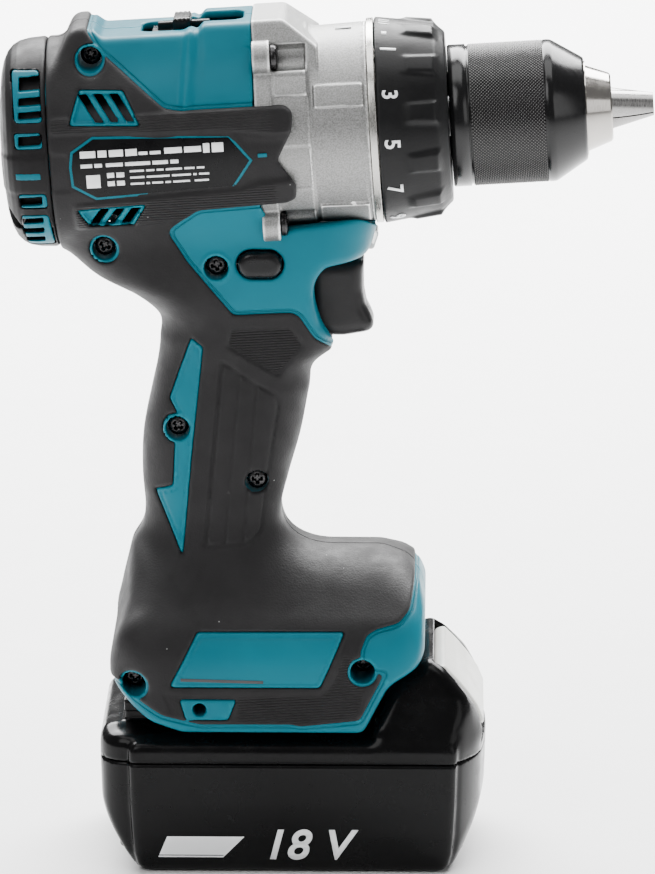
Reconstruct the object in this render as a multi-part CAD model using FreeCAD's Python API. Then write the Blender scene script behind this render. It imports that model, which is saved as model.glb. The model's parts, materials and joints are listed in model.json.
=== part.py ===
"""Cordless two-speed drill driver with a slide-on battery, one STEP file per piece.

Millimetres, +Z up, +X towards the chuck, Y = 0 on the parting plane of the housing,
Z = 0 on the flat underside of the battery.  Everything on the motor and gearbox axis is
built in the head frame (X along the axis, origin at the seam in front of the gear
housing) and then placed by HEAD.
"""
import FreeCAD, Part
import math
import os

os.makedirs("parts", exist_ok=True)
V = FreeCAD.Vector

# ---- driving dimensions -------------------------------------------------------------
CENTRE_X = 0.22             # moves the middle of the overall length to X = 0
HEAD_TILT = 3.5             # nose-up angle of the motor axis, degrees
HEAD_X = 13.25              # head origin, before CENTRE_X
HEAD_Z = 225.94
WALL = 2.6                  # housing wall
RUBBER = 0.8                # how far the grip skin stands proud
FIT = 0.05                  # radial running clearance of a shaft in a hole

BARREL_R = 31.2             # motor casing
BARREL_DROP = 0.8           # casing centre below the motor axis
COVER_X = -95.5             # seam of the rear cover
FLANGE_X = -33.9            # joint between housing and gear housing
GEAR_CASE_R = 30.4
BAND_END = 2.1              # index band in front of the gear housing
RING_END = 23.3             # front of the torque ring
RING_R = 30.9
CHUCK_X = 23.6
SLEEVE_R = 21.3
NOSE_X = 64.5
NOSE_END = 72.0
JAW_TIP = 84.5

MODULE = 0.8                # all gear teeth
PRESSURE = math.radians(25)
BACKLASH = 0.06             # taken off each tooth flank
SUN_TEETH = 21              # first and third stage
MID_SUN_TEETH = 18          # second stage
PLANET_TEETH = 15
RING_TEETH = 51
MID_RING_TEETH = 48

JAW_R = 4.3
JAW_ANGLE = 15.0            # jaw rods against the chuck axis
JAW_OFFSET = -1.2           # rod axis against chuck axis at the tips
JAW_LENGTH = 34.0           # measured along the chuck axis
JAW_GAP = 0.15              # half gap between closed jaws

TRIGGER_Y = 8.0             # half width of the trigger
LEVER_HALF = 22.5           # half length of the reversing lever

CASE_TOP = 34.8             # seam of the battery case
SHOULDER = 43.5             # top of the battery cover
RAIL_TOP = 52.4
RAIL_Y = 27.0
NECK_Y = 23.0
CASE_Y = 37.5
FOOT_Y = 39.5
FOOT_Z = 45.5               # underside of the foot
SLOT_TOP = 53.0

HEAD = FreeCAD.Placement(V(HEAD_X - CENTRE_X, 0, HEAD_Z), FreeCAD.Rotation(V(0, 1, 0), -HEAD_TILT))
SHIFTED = FreeCAD.Placement(V(-CENTRE_X, 0, 0), FreeCAD.Rotation())
ALONG_X = FreeCAD.Rotation(V(1, 1, 1), 120)      # turns x, y, z into y, z, x


# ---- helpers ------------------------------------------------------------------------
def in_head(shape):
    """Places a head-frame shape in the object frame."""
    placed = shape.copy()
    placed.Placement = HEAD.multiply(placed.Placement)
    return placed


def shifted(shape):
    """Places a body-frame shape in the object frame."""
    placed = shape.copy()
    placed.Placement = SHIFTED.multiply(placed.Placement)
    return placed


def head_point(x, z):
    """A head-frame point as an (x, z) pair of the body frame."""
    p = HEAD.multVec(V(x, 0, z))
    return (p.x + CENTRE_X, p.z)


def fuse(shapes):
    first = shapes[0]
    return first.fuse(list(shapes[1:])) if len(shapes) > 1 else first


def rod(x0, x1, r, y=0.0, z=0.0):
    return Part.makeCylinder(r, x1 - x0, V(x0, y, z), V(1, 0, 0))


def tube(x0, x1, r_in, r_out, y=0.0, z=0.0):
    return rod(x0, x1, r_out, y, z).cut(rod(x0 - 1, x1 + 1, r_in, y, z))


def cross_rod(x, z, r, y0, y1):
    return Part.makeCylinder(r, y1 - y0, V(x, y0, z), V(0, 1, 0))


def upright(x, y, r, z0, z1):
    return Part.makeCylinder(r, z1 - z0, V(x, y, z0), V(0, 0, 1))


def block(x0, x1, y0, y1, z0, z1):
    return Part.makeBox(x1 - x0, y1 - y0, z1 - z0, V(x0, y0, z0))


def turned(profile):
    """Solid of revolution about X from (x, radius) corners."""
    wire = Part.makePolygon([V(x, 0, r) for x, r in profile] + [V(profile[0][0], 0, profile[0][1])])
    return Part.Face(wire).revolve(V(0, 0, 0), V(1, 0, 0), 360)


def side_prism(outline, y0, y1):
    """Prism across Y from an (x, z) outline."""
    corners = [V(x, y0, z) for x, z in outline]
    wire = Part.makePolygon(corners + [corners[0]])
    return Part.Face(wire).extrude(V(0, y1 - y0, 0))


def front_prism(outline, x0, x1):
    """Prism along X from a (y, z) outline."""
    corners = [V(x0, y, z) for y, z in outline]
    wire = Part.makePolygon(corners + [corners[0]])
    return Part.Face(wire).extrude(V(x1 - x0, 0, 0))


def plan_wire(x_rear, x_front, half_width, r_rear, r_front, z):
    """Rounded rectangle seen from above."""
    def corner(cx, cy, r, a0):
        a = [math.radians(a0 + k * 45) for k in range(3)]
        pts = [V(cx + r * math.cos(t), cy + r * math.sin(t), z) for t in a]
        return pts, Part.Arc(*pts).toShape()
    spots = [(x_front - r_front, half_width - r_front, r_front, 0),
             (x_rear + r_rear, half_width - r_rear, r_rear, 90),
             (x_rear + r_rear, -half_width + r_rear, r_rear, 180),
             (x_front - r_front, -half_width + r_front, r_front, 270)]
    arcs = [corner(*spot) for spot in spots]
    edges = []
    for k in range(4):
        edges.append(arcs[k][1])
        edges.append(Part.makeLine(arcs[k][0][2], arcs[(k + 1) % 4][0][0]))
    return Part.Wire(edges)


def pill(x, z, length, height, y0, y1):
    """Stadium-shaped prism across Y."""
    r = height / 2
    half = length / 2 - r
    core = block(x - half, x + half, y0, y1, z - r, z + r)
    return fuse([core, cross_rod(x - half, z, r, y0, y1), cross_rod(x + half, z, r, y0, y1)])


def about_axis(shape, angle):
    """Turns a head-frame shape about the motor axis."""
    turned_copy = shape.copy()
    turned_copy.rotate(V(0, 0, 0), V(1, 0, 0), angle)
    return turned_copy


# ---- gear teeth ---------------------------------------------------------------------
def involute(angle):
    return math.tan(angle) - angle


def tooth_edges(teeth, r_root, r_tip, thin, phase):
    """Closed outline of a gear with involute flanks; thin widens or narrows the teeth."""
    r_pitch = MODULE * teeth / 2
    r_base = r_pitch * math.cos(PRESSURE)
    low = max(r_base, r_root)
    half_at_pitch = math.pi / (2 * teeth) - thin / r_pitch

    def half_angle(r):
        return half_at_pitch + involute(PRESSURE) - involute(math.acos(min(1.0, r_base / r)))

    def at(r, a):
        return V(r * math.cos(a), r * math.sin(a), 0)

    middle = (low + r_tip) / 2
    edges = []
    for k in range(teeth):
        c = phase + 2 * math.pi * k / teeth
        nxt = c + 2 * math.pi / teeth
        rise = [at(r, c - half_angle(r)) for r in (low, middle, r_tip)]
        fall = [at(r, c + half_angle(r)) for r in (r_tip, middle, low)]
        if r_root < low - 0.01:
            edges.append(Part.makeLine(at(r_root, c - half_angle(low)), rise[0]))
        edges.append(Part.Arc(*rise).toShape())
        edges.append(Part.makeLine(rise[2], fall[0]))
        edges.append(Part.Arc(*fall).toShape())
        foot = fall[2]
        if r_root < low - 0.01:
            foot = at(r_root, c + half_angle(low))
            edges.append(Part.makeLine(fall[2], foot))
        r_next = r_root if r_root < low - 0.01 else low
        edges.append(Part.makeLine(foot, at(r_next, nxt - half_angle(low))))
    return edges


def toothed(teeth, x0, x1, phase_deg, addendum=1.0, dedendum=1.25, thin=BACKLASH):
    """External gear body along the head axis."""
    r_pitch = MODULE * teeth / 2
    edges = tooth_edges(teeth, r_pitch - dedendum * MODULE, r_pitch + addendum * MODULE, thin,
                        math.radians(phase_deg))
    solid = Part.Face(Part.Wire(edges)).extrude(V(0, 0, x1 - x0))
    solid.Placement = FreeCAD.Placement(V(x0, 0, 0), ALONG_X)
    return solid


def ring_gear(teeth, x0, x1, r_out):
    """Internal gear: the hole is an external gear with swapped addendum and dedendum."""
    hole = toothed(teeth, x0 - 1, x1 + 1, 0, addendum=1.25, dedendum=0.9, thin=-BACKLASH)
    return rod(x0, x1, r_out).cut(hole)


def planet(k, x0, x1, sun_teeth, bore):
    """Planet k of three, turned so that it meshes with a sun that has a tooth at angle 0."""
    orbit = MODULE * (sun_teeth + PLANET_TEETH) / 2
    spot = 120.0 * k
    sun_phase = sun_teeth * spot
    turn = spot + 180 - (180 - sun_phase) / PLANET_TEETH
    gear = toothed(PLANET_TEETH, x0, x1, turn).cut(rod(x0 - 1, x1 + 1, bore))
    a = math.radians(spot)
    gear.translate(V(0, orbit * math.cos(a), orbit * math.sin(a)))
    return gear


def on_orbit(sun_teeth, make):
    """Three copies of make(y, z) at the planet centres."""
    orbit = MODULE * (sun_teeth + PLANET_TEETH) / 2
    spots = [math.radians(120.0 * k) for k in range(3)]
    return [make(orbit * math.cos(a), orbit * math.sin(a)) for a in spots]


# ---- outer form of housing, handle and foot -----------------------------------------
# height, rear x, front x, half width of the handle
HANDLE = [(198, -71, 20, 20.5), (187, -75.6, 14, 20.5), (180, -69, 12.5, 20.4), (174, -57.5, 10, 20),
          (168, -50.6, 7.5, 19), (160, -49.8, 4.4, 18), (153, -50.6, -3.8, 17.2),
          (145, -52.3, -6.5, 17), (131, -55, -9.2, 17.2), (118, -55.4, -12.8, 17.4),
          (108, -54.6, -14.9, 17.8), (98, -54, -14.6, 18.6), (86, -56.5, -10, 20)]


def handle_section(z, x_rear, x_front, half_width, grow):
    """Oval section of the handle, drawn as a rounded rectangle."""
    half_y = half_width + grow
    return plan_wire(x_rear - grow, x_front + grow, half_y, 0.86 * half_y, 0.72 * half_y, z)


def handle(grow):
    return Part.makeLoft([handle_section(*row, grow) for row in HANDLE], True, True)


def foot(grow):
    """Foot: side, front and plan outlines cut each other."""
    g = grow
    side = [(11.6 + g, FOOT_Z), (18.3 + g, 59 - g), (20.5 + g, 61.3 - g), (27.2 + g, 65.3 - g),
            (30 + g, 69), (30 + g, 80), (26.5 + g, 86.5 + g), (16.5 + g, 93.8 + g),
            (-53 - g, 93.8 + g), (-58 - g, 82.5), (-63.6 - g, 70.7), (-65.6 - g, 64),
            (-65.6 - g, 58), (-58 - g, 52.7 - g), (-52.8 - g, 48.9 - g), (-43 - g, FOOT_Z)]
    front = [(-FOOT_Y - g, FOOT_Z - 1), (FOOT_Y + g, FOOT_Z - 1), (FOOT_Y + g, 73), (13 + g, 93.8 + g),
             (-13 - g, 93.8 + g), (-FOOT_Y - g, 73)]
    plan = plan_wire(-65.6 - g, 30 + g, FOOT_Y + g, 16, 12, FOOT_Z - 1)
    body = side_prism(side, -FOOT_Y - g - 1, FOOT_Y + g + 1)
    body = body.common(front_prism(front, -80, 60))
    return body.common(Part.Face(plan).extrude(V(0, 0, 60)))


def barrel(grow, x0=COVER_X, x1=FLANGE_X):
    return in_body(rod(x0, x1, BARREL_R + grow, 0, -BARREL_DROP))


def in_body(shape):
    """Places a head-frame shape in the body frame, before CENTRE_X is applied."""
    placed = in_head(shape)
    placed.translate(V(CENTRE_X, 0, 0))
    return placed


def spine(grow):
    """Raised back over the motor casing that carries the speed selector."""
    g = grow
    low = front_prism([(-21.5 - g, 20), (21.5 + g, 20), (14.6 + g, 32.6 + g), (-14.6 - g, 32.6 + g)],
                      -91 - g, FLANGE_X)
    step = front_prism([(-19.5 - g, 24), (19.5 + g, 24), (14.2 + g, 34.8 + g), (-14.2 - g, 34.8 + g)],
                       -49 - g, FLANGE_X)
    pad = front_prism([(-19.5 - g, 24), (19.5 + g, 24), (14.2 + g, 34.8 + g), (-14.2 - g, 34.8 + g)],
                      -89.5 - g, -80 + g)
    return in_body(fuse([low, step, pad]))


def trigger_pocket(g):
    """Space in front of the handle that the trigger stands in."""
    return side_prism([(22, 185.8 + g), (-0.5 - g, 184.6 + g), (-4 - g, 177), (-3.5 - g, 172.7),
                       (-1.8 - g, 166.8), (1.7 - g, 161.0 - g), (4.2 - g, 157.3 - g), (22, 156.6 - g)],
                      -40, 40)


def gear_case_space(gap):
    return in_body(rod(FLANGE_X, 40, GEAR_CASE_R + gap))


def outer_form(grow):
    form = fuse([handle(grow), foot(grow), barrel(grow), spine(grow)])
    form = form.cut(trigger_pocket(-grow)).cut(gear_case_space(0.9 - grow))
    ears = [rod(-46 - grow, FLANGE_X, EAR_R + grow, y, z) for y, z in CASE_SCREWS]
    room = [rod(FLANGE_X, -22, EAR_R + 0.8 - grow, y, z) for y, z in CASE_SCREWS]
    return fuse([form, in_body(fuse(ears))]).cut(in_body(fuse(room)))


REAR_LIP = (-66.6, -62.5, -24, 24, 43.9, 58)    # wall behind the battery rails

# fastener centres: body-frame x, z, half length of the boss
HOUSING_SCREWS = [(*head_point(-82.0, 26.8), 17.0), (-66.3, 190.4, 18.0), (-32.9, 185.0, 19.6),
                  (-44.8, 134.5, 16.2), (-21.0, 118.1, 15.6), (11.2, 64.7, 38.6), (-57.6, 60.0, 24.0)]
SCREW_R = 1.5
SCREW_HEAD_R = 3.0
SINK = 3.2                  # screw heads lie this far below the boss end


def battery_slot():
    """T-shaped way for the battery rails, open to the front."""
    wide = block(-62.5, 60, -RAIL_Y - 0.4, RAIL_Y + 0.4, 48.2, SLOT_TOP)
    neck = block(-62.5, 60, -NECK_Y - 0.4, NECK_Y + 0.4, FOOT_Z - 3, 48.3)
    latch = block(22.0, 40, -9, 9, SLOT_TOP - 0.1, 58.2)
    return fuse([wide, neck, latch])


def housing():
    """Both housing halves in one piece, before they are split."""
    inner = fuse([handle(-WALL).cut(trigger_pocket(WALL)),
                  foot(-WALL).cut(block(-90, 60, -60, 60, 30, SLOT_TOP + 7.5)),
                  barrel(-WALL, COVER_X - 1, FLANGE_X + 1)])
    shell = outer_form(0).cut(inner)
    ribs = [tube(-84, -80, 23.55, BARREL_R - 2), tube(-68, -64, 23.55, BARREL_R - 2),
            tube(-54, -48, 24.5, BARREL_R - 2)]
    ribs = in_body(fuse(ribs).cut(block(-60, -30, -4.5, 4.5, 20, 40)))
    bosses = [cross_rod(x, z, 4.0, -y, y) for x, z, y in HOUSING_SCREWS]
    shell = fuse([shell, ribs, block(*REAR_LIP)] + bosses)
    cuts = [battery_slot(), in_body(block(-67.1, -36.2, -7.2, 7.2, 24.7, 40)),
            side_prism(WINDOW, -TRIGGER_Y - 1.0, TRIGGER_Y + 1.0),
            pill(-19.8, 186.1, 13.9, 8.8, -40, 40), side_prism(LENS_SEAT, -5.2, 5.2),
            block(-53.0, -30.8, -16.2, 16.2, SLOT_TOP - 0.1, 60.2)]
    cuts += [in_body(rod(-43, -30, SCREW_R + 0.1, y, z)) for y, z in CASE_SCREWS]
    for x, z, y in HOUSING_SCREWS:
        cuts.append(cross_rod(x, z, SCREW_R + 0.1, -y - 1, y))
        cuts.append(cross_rod(x, z, SCREW_HEAD_R + 0.15, -y - 12, -y + SINK))
    for side in (-1, 1):
        mouth = side * (FOOT_Y + 5)
        bottom = side * (FOOT_Y - HOOK_DEPTH)
        cuts.append(cross_rod(*HOOK_HOLE, HOOK_R, min(mouth, bottom), max(mouth, bottom)))
    cuts += air_slots()
    return shell.cut(cuts)


HOOK_HOLE = (-37.8, 53.2)
HOOK_R = 2.0
HOOK_DEPTH = 10.0
WINDOW = [(6, 184.9), (-12.6, 184.9), (-12.6, 158.4), (6, 160.2)]
LENS_SEAT = [(9.4, 187.0), (15.2, 187.0), (17.5, 194.0), (11.6, 194.0)]


def air_slots():
    """Slanted cooling slots beside the motor, three up and three down on each side."""
    slots = []
    for k in range(3):
        up = -85.2 + 5.6 * k
        down = -87.0 + 5.6 * k
        upper = [(up, 17.5), (up + 2.4, 17.5), (up + 6.6, 10.5), (up + 4.2, 10.5)]
        lower = [(down, -21.5), (down + 2.4, -21.5), (down + 5.6, -16.5), (down + 3.2, -16.5)]
        slots += [side_prism(upper, -50, 50), side_prism(lower, -50, 50)]
    return [in_body(slot) for slot in slots]


def half(shape, side):
    """The -Y or +Y half of a shape, without loose slivers."""
    y0, y1 = (-60, 0) if side < 0 else (0, 60)
    cut = shape.common(block(-150, 150, y0, y1, -5, 300))
    return max(cut.Solids, key=lambda solid: solid.Volume)


def grip_region():
    """Side outline of the rubber, less the windows left in it."""
    outline = [head_point(*p) for p in [(-95.5, 45), (-80.2, 45), (-79.9, 36.4), (-77.1, 31.8),
                                        (-59, 13.4), (-33.6, 11.9), (-33.6, -18.2), (-52.5, -18.9),
                                        (-61.3, -24.8)]]
    outline += [(-41.5, 187), (-27.8, 170.1), (-10.1, 170.3), (-1.5, 159.2), (8, 150), (2, 100),
                (22, 99), (16, 80), (24, 72), (20, 66), (9, 49.5), (-43, 49.5), (-57, 57), (-75, 56),
                (-80, 150), (-90, 180)]
    outline += [head_point(-95.5, -45)]
    insert = [(-40.6, 162.8), (-37.0, 160.0), (-43.3, 95.2), (-51.8, 114.7), (-46.3, 116.8),
              (-47.3, 143.3)]
    panel = [(-38.5, 76.3), (5.9, 76.6), (-1.5, 60), (-46.4, 60)]
    hook = [(-43.9, 56.2), (-26.7, 56.2), (-29.2, 49.9), (-42, 49.9)]
    region = side_prism(outline, -60, 60)
    return region.cut([side_prism(p, -60, 60) for p in (insert, panel, hook)])


def grip_skin():
    """Rubber over both halves, before it is split."""
    skin = outer_form(RUBBER).cut(outer_form(0)).common(grip_region())
    cuts = [cross_rod(x, z, 4.4, -60, 60) for x, z, y in HOUSING_SCREWS]
    cuts += [in_body(block(-68, -30, -9, 9, 24, 45)), pill(-19.8, 186.1, 14.5, 9.4, -60, 60)]
    cuts += [block(-90, 60, -30, 30, 30, 56), block(*REAR_LIP), trigger_pocket(0)] + air_slots()
    return skin.cut(cuts)


def housing_screws():
    screws = []
    for x, z, y in HOUSING_SCREWS:
        head_y = -y + SINK
        screw = fuse([cross_rod(x, z, SCREW_HEAD_R, head_y - 2.2, head_y),
                      cross_rod(x, z, SCREW_R, head_y, y - 4)])
        screws.append(screw.cut(block(x - 1.8, x + 1.8, head_y - 3, head_y - 1.2, z - 0.35, z + 0.35)))
    return Part.makeCompound(screws)


# ---- motor --------------------------------------------------------------------------
def rear_cover():
    r = BARREL_R
    shell = turned([(COVER_X, 0), (COVER_X, r), (-103.5, r - 0.7), (-106.9, r - 2.4), (-109, r - 6),
                    (-110.3, 14), (-111, 0)])
    hollow = turned([(COVER_X + 1, 0), (COVER_X + 1, r - 2.4), (-103, r - 3), (-106.8, r - 7),
                     (-107.8, 14), (-108.2, 0)])
    shell = shell.cut(hollow)
    shell.translate(V(0, 0, -BARREL_DROP))
    seat = tube(-108.6, -100, 9.5, 12)
    slots = []
    for z in (24, 18.5, 13, 4.6, -13.2, -20, -24):
        slots.append(block(-105.2, -97.5, -50, -15, z - 1.2, z + 1.2))
        slots.append(block(-105.2, -97.5, 15, 50, z - 1.2, z + 1.2))
    posts = [rod(-108, COVER_X, 3.4, y, z) for y, z in COVER_SCREWS]
    cover = fuse([shell, seat] + posts)
    holes = [rod(-115, COVER_X + 1, SCREW_R + 0.1, y, z) for y, z in COVER_SCREWS]
    holes += [rod(-115, -106, SCREW_HEAD_R + 0.15, y, z) for y, z in COVER_SCREWS]
    return in_head(cover.cut(slots + holes))


COVER_SCREWS = [(18.5, 18.0), (-18.5, -19.5)]


def rear_cover_screws():
    screws = [fuse([rod(-108.3, -106, SCREW_HEAD_R, y, z), rod(-106, -97, SCREW_R, y, z)])
              for y, z in COVER_SCREWS]
    return in_head(Part.makeCompound(screws))


def motor_stator():
    core = tube(-86, -62, 13.5, 23.5)
    slots = []
    for k in range(6):
        slot = fuse([block(-90, -58, -3.2, 3.2, 16, 20.5), block(-90, -58, -0.9, 0.9, 12, 17)])
        slots.append(about_axis(slot, 60 * k + 30))
    return in_head(core.cut(slots))


def motor_windings():
    """A coil round each stator tooth: two end turns joined by the wires in the slots."""
    coils = []
    for k in range(6):
        outer = block(-89.5, -58.5, -6.4, 6.4, 16.2, 20.2)
        inner = block(-86.2, -61.8, -5.0, 5.0, 15, 22)
        ring = outer.cut(inner)
        wedge = front_prism([(0, 0), (-12, 20.78), (12, 20.78)], -95, -50)
        coils.append(about_axis(ring.common(wedge), 60 * k))
    coils = Part.makeCompound(coils)
    return in_head(coils.cut(tube(-86, -62, 13.5, 23.5).cut(slot_space())))


def slot_space():
    slots = [about_axis(block(-90, -58, -3.2, 3.2, 16, 20.5), 60 * k + 30) for k in range(6)]
    return fuse(slots)


def rotor_core():
    return in_head(tube(-86, -62, 2.5, 13.0))


def rotor_shaft():
    """Motor shaft with the pinion that is the first sun gear."""
    shaft = fuse([rod(-106, -44.6, 2.5), toothed(SUN_TEETH, -45, -37.2, 0)])
    return in_head(shaft)


def fan():
    hub = tube(-98.5, -92, 2.5, 7)
    plate = tube(-93.2, -92, 6.9, 21.5)
    blades = [about_axis(block(-98.5, -93, 6.5, 21, -0.6, 0.6), 360 / 13 * k) for k in range(13)]
    return in_head(fuse([hub, plate] + blades))


def motor_bearings():
    rear = tube(-106, -100, 2.5 + FIT, 9.5)
    front = tube(-54.5, -48.5, 2.5 + FIT, 8)
    return in_head(Part.makeCompound([rear, front]))


def gearbox_plate():
    plate = turned([(-56, 9.6), (-54.5, 9.6), (-54.5, 8), (-48.5, 8), (-48.5, 5), (-46, 5), (-46, 24.5),
                    (-50, 24.5), (-52, 16), (-56, 12)])
    return in_head(plate)


# ---- gearbox ------------------------------------------------------------------------
def gear_housing():
    """Cast case: flange, barrel, front wall and the threaded nose that carries the spindle."""
    r = GEAR_CASE_R
    case = turned([(FLANGE_X, 27), (FLANGE_X, r + 0.4), (-28.5, r + 0.4), (-28.5, r), (-17.6, r - 0.2),
                   (-17.0, r - 0.9), (-0.1, r - 0.4), (-0.1, 24.6), (-1.5, 15), (20, 15), (20, 11),
                   (11.5, 11), (11.5, 9), (4, 9), (4, 8.5), (-1.5, 8.5), (-1.5, 12), (-5, 12), (-5, 27)])
    hump = front_prism([(-19.5, 24), (19.5, 24), (14.2, 35), (-14.2, 35)], FLANGE_X, -17)
    slope = front_prism([(-30, 20), (30, 20), (30, 45), (-30, 45)], -24, -10)
    slope = slope.common(side_prism([(-24, 35), (-16.5, 30), (-16.5, 45), (-24, 45)], -30, 30))
    hump = hump.cut(slope).cut(rod(FLANGE_X - 1, 0, 27))
    ears = [rod(FLANGE_X, -28.6, EAR_R, y, z) for y, z in CASE_SCREWS]
    ears = [ear.cut(rod(FLANGE_X - 1, 0, 27)) for ear in ears]
    case = fuse([case, hump] + ears)
    cuts = [rod(FLANGE_X - 1, -20, SCREW_R + 0.1, y, z) for y, z in CASE_SCREWS]
    cuts += [rod(-28.5, -17.5, 4.3, y, z) for y, z in CASE_SCREWS]
    cuts += [rod(-6, 1, 2.05, y, z) for y, z in pin_spots()]
    cuts.append(block(FLANGE_X - 1, -23, -2.2, 2.2, 24, 28.2))
    return in_head(case.cut(cuts))


CASE_SCREWS = [(-20.3, 24.8), (20.3, 24.8), (-19.3, -25.7), (19.3, -25.7)]


def gear_housing_screws():
    screws = [fuse([rod(-28.5, -26.0, 3.9, y, z).cut(rod(-27.2, -25, 1.9, y, z)),
                    rod(-42, -28.5, SCREW_R, y, z)]) for y, z in CASE_SCREWS]
    return in_head(Part.makeCompound(screws))


EAR_R = 5.0


def pin_spots():
    return [(20.5 * math.cos(math.radians(60 * k + 30)), 20.5 * math.sin(math.radians(60 * k + 30)))
            for k in range(6)]


def first_ring_gear():
    return in_head(ring_gear(RING_TEETH, -45.8, -36.8, 24.5))


def third_ring_gear():
    return in_head(ring_gear(RING_TEETH, -19, -7.6, 24.5))


def shift_ring():
    ring = ring_gear(MID_RING_TEETH, -36.6, -25.4, 23.4)
    return in_head(ring.cut(tube(-32.2, -29.8, 21.9, 30)))


def first_carrier():
    """Plate with a splined rim, three pins to the rear and the second sun in front."""
    rim = toothed(MID_RING_TEETH, -36.2, -33.4, 0, addendum=0.6, dedendum=1.6, thin=0.15)
    pins = on_orbit(SUN_TEETH, lambda y, z: rod(-44.4, -36.2, 2.0, y, z))
    sun = toothed(MID_SUN_TEETH, -33.4, -25.2, 0)
    return in_head(fuse([rim, sun] + pins))


def second_planets():
    return in_head(Part.makeCompound([planet(k, -31.8, -25.8, MID_SUN_TEETH, 2.05) for k in range(3)]))


def second_carrier():
    plate = rod(-24.8, -22, 17.6)
    pins = on_orbit(MID_SUN_TEETH, lambda y, z: rod(-31.6, -24.8, 2.0, y, z))
    sun = toothed(SUN_TEETH, -22, -9.4, 0)
    return in_head(fuse([plate, sun] + pins))


def first_planet(k):
    return in_head(planet(k, -44.2, -37.2, SUN_TEETH, 2.0 + FIT))


def third_planet(k):
    return in_head(planet(k, -17.5, -9.6, SUN_TEETH, 2.0 + FIT))


def spindle():
    """Output shaft: third carrier with its pins, journals and the chuck thread."""
    plate = rod(-8.9, -5.6, 18)
    pins = on_orbit(SUN_TEETH, lambda y, z: rod(-17.3, -8.9, 2.0, y, z))
    shaft = turned([(-8.9, 0), (-8.9, 8), (3.9, 8), (3.9, 6), (37.5, 6), (37.5, 2.6), (24, 2.6),
                    (24, 0)])
    return in_head(fuse([plate, shaft] + pins))


def spindle_bearings():
    """Plain bush behind and ball bearing in front."""
    bush = tube(-1.4, 3.9, 8 + FIT, 8.5)
    ball = tube(12, 19, 6 + FIT, 11)
    return in_head(Part.makeCompound([bush, ball]))


def clutch_pins():
    return in_head(Part.makeCompound([rod(-7.6, 1.4, 2.0, y, z) for y, z in pin_spots()]))


def clutch_washer():
    return in_head(tube(1.4, 2.8, 15.3, 23.5))


def clutch_spring():
    """Coil spring as closed turns of round wire."""
    turns = [Part.makeTorus(19.5, 0.9, V(x, 0, 0), V(1, 0, 0)) for x in (3.8, 6.2, 8.6, 11.0, 12.4)]
    return in_head(Part.makeCompound(turns))


def clutch_nut():
    nut = tube(13.4, 17.4, 15.06, 23)
    keys = [about_axis(block(13.4, 17.4, -1.8, 1.8, 22, 25.0), 90 * k) for k in range(4)]
    return in_head(fuse([nut] + keys))


def index_band():
    return in_head(tube(0, BAND_END - 0.15, 24.8, RING_R))


def torque_ring():
    """Ring with twelve grip lugs; four ways inside carry the clutch nut round."""
    x0 = BAND_END
    body = turned([(x0 + 0.15, 26.2), (x0 + 0.15, RING_R), (10, 29.7), (20, 28.0),
                   (RING_END - 0.4, 25.6), (RING_END, 24.6), (RING_END, 16.5), (20.6, 16.5), (20.6, 26.2)])
    lugs = []
    for k in range(12):
        lug = front_prism([(-3.2, 24), (3.2, 24), (2.4, 30.6), (-2.4, 30.6)], 11, 20)
        lug = lug.common(turned([(8, 0), (8, 31), (12, 30.6), (19, 30.2), (21, 26), (21, 0)]))
        lugs.append(about_axis(lug, 12 + 30 * k).cut(rod(0, 25, 27)))
    ways = []
    for k in range(4):
        for side in (-1, 1):
            way = block(x0 + 1, 20.7, *sorted((side * 2.1, side * 4.0)), 24.6, 27)
            ways.append(about_axis(way, 90 * k))
    ring = fuse([body] + lugs + ways)
    return in_head(ring)


# ---- chuck --------------------------------------------------------------------------
def jaw_bore(k, r):
    """Inclined rod along the way of jaw k, jaw 0 at the bottom."""
    slope = math.tan(math.radians(JAW_ANGLE))
    front = V(JAW_TIP + 6, 0, -(JAW_OFFSET - 6 * slope))
    back_x = CHUCK_X + 1
    back = V(back_x, 0, -(JAW_OFFSET + (JAW_TIP - back_x) * slope))
    line = front - back
    bore = Part.makeCylinder(r, line.Length, back, line)
    return about_axis(bore, 120 * k)


def chuck_body():
    body = turned([(CHUCK_X + 0.4, 6), (CHUCK_X + 0.4, 18.6), (49.2, 18.6), (49.2, 11.9), (57.6, 9.8),
                   (57.6, 14.2), (NOSE_X, 14.2), (NOSE_X, 12.9), (NOSE_END - 0.5, 10.3), (NOSE_END, 9.7),
                   (NOSE_END, 6.8), (40, 6.8), (40, 6)])
    return in_head(body.cut([jaw_bore(k, JAW_R + FIT) for k in range(3)]))


def jaw(k):
    """Rod ground to a 120 degree wedge, with a flat tip and rear end."""
    rod_k = jaw_bore(0, JAW_R)
    keep = block(JAW_TIP - JAW_LENGTH, JAW_TIP, -20, 20, -25, 5)
    wedge = front_prism([(0, -JAW_GAP * 2), (-30 * math.sqrt(3), -JAW_GAP * 2 - 30), (0, -80),
                         (30 * math.sqrt(3), -JAW_GAP * 2 - 30)], 20, 100)
    body = rod_k.common(keep).common(wedge)
    return in_head(about_axis(body, 120 * k))


def chuck_nut():
    """Ring round the jaw rods; its cone is the thread side, left plain."""
    nut = turned([(49.6, 12.8), (49.6, 18.2), (54.3, 18.2), (57.2, 15.8), (57.2, 10.75)])
    return in_head(nut)


def chuck_sleeve():
    r = SLEEVE_R
    sleeve = turned([(CHUCK_X, 19.4), (CHUCK_X, r - 0.4), (CHUCK_X + 0.5, r), (29.0, r), (29.2, r - 0.7),
                     (29.8, r - 0.7), (30.0, r), (54.5, r), (NOSE_X - 0.6, 15.4), (NOSE_X - 0.3, 14.9),
                     (NOSE_X - 0.3, 14.5), (57.4, 14.5), (57.4, 16.2), (54.4, 18.3), (49.4, 18.3),
                     (49.4, 19.4)])
    return in_head(sleeve)


def chuck_screw():
    return in_head(fuse([rod(25, 38, 2.5), rod(38, 39.8, 5)]))


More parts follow.
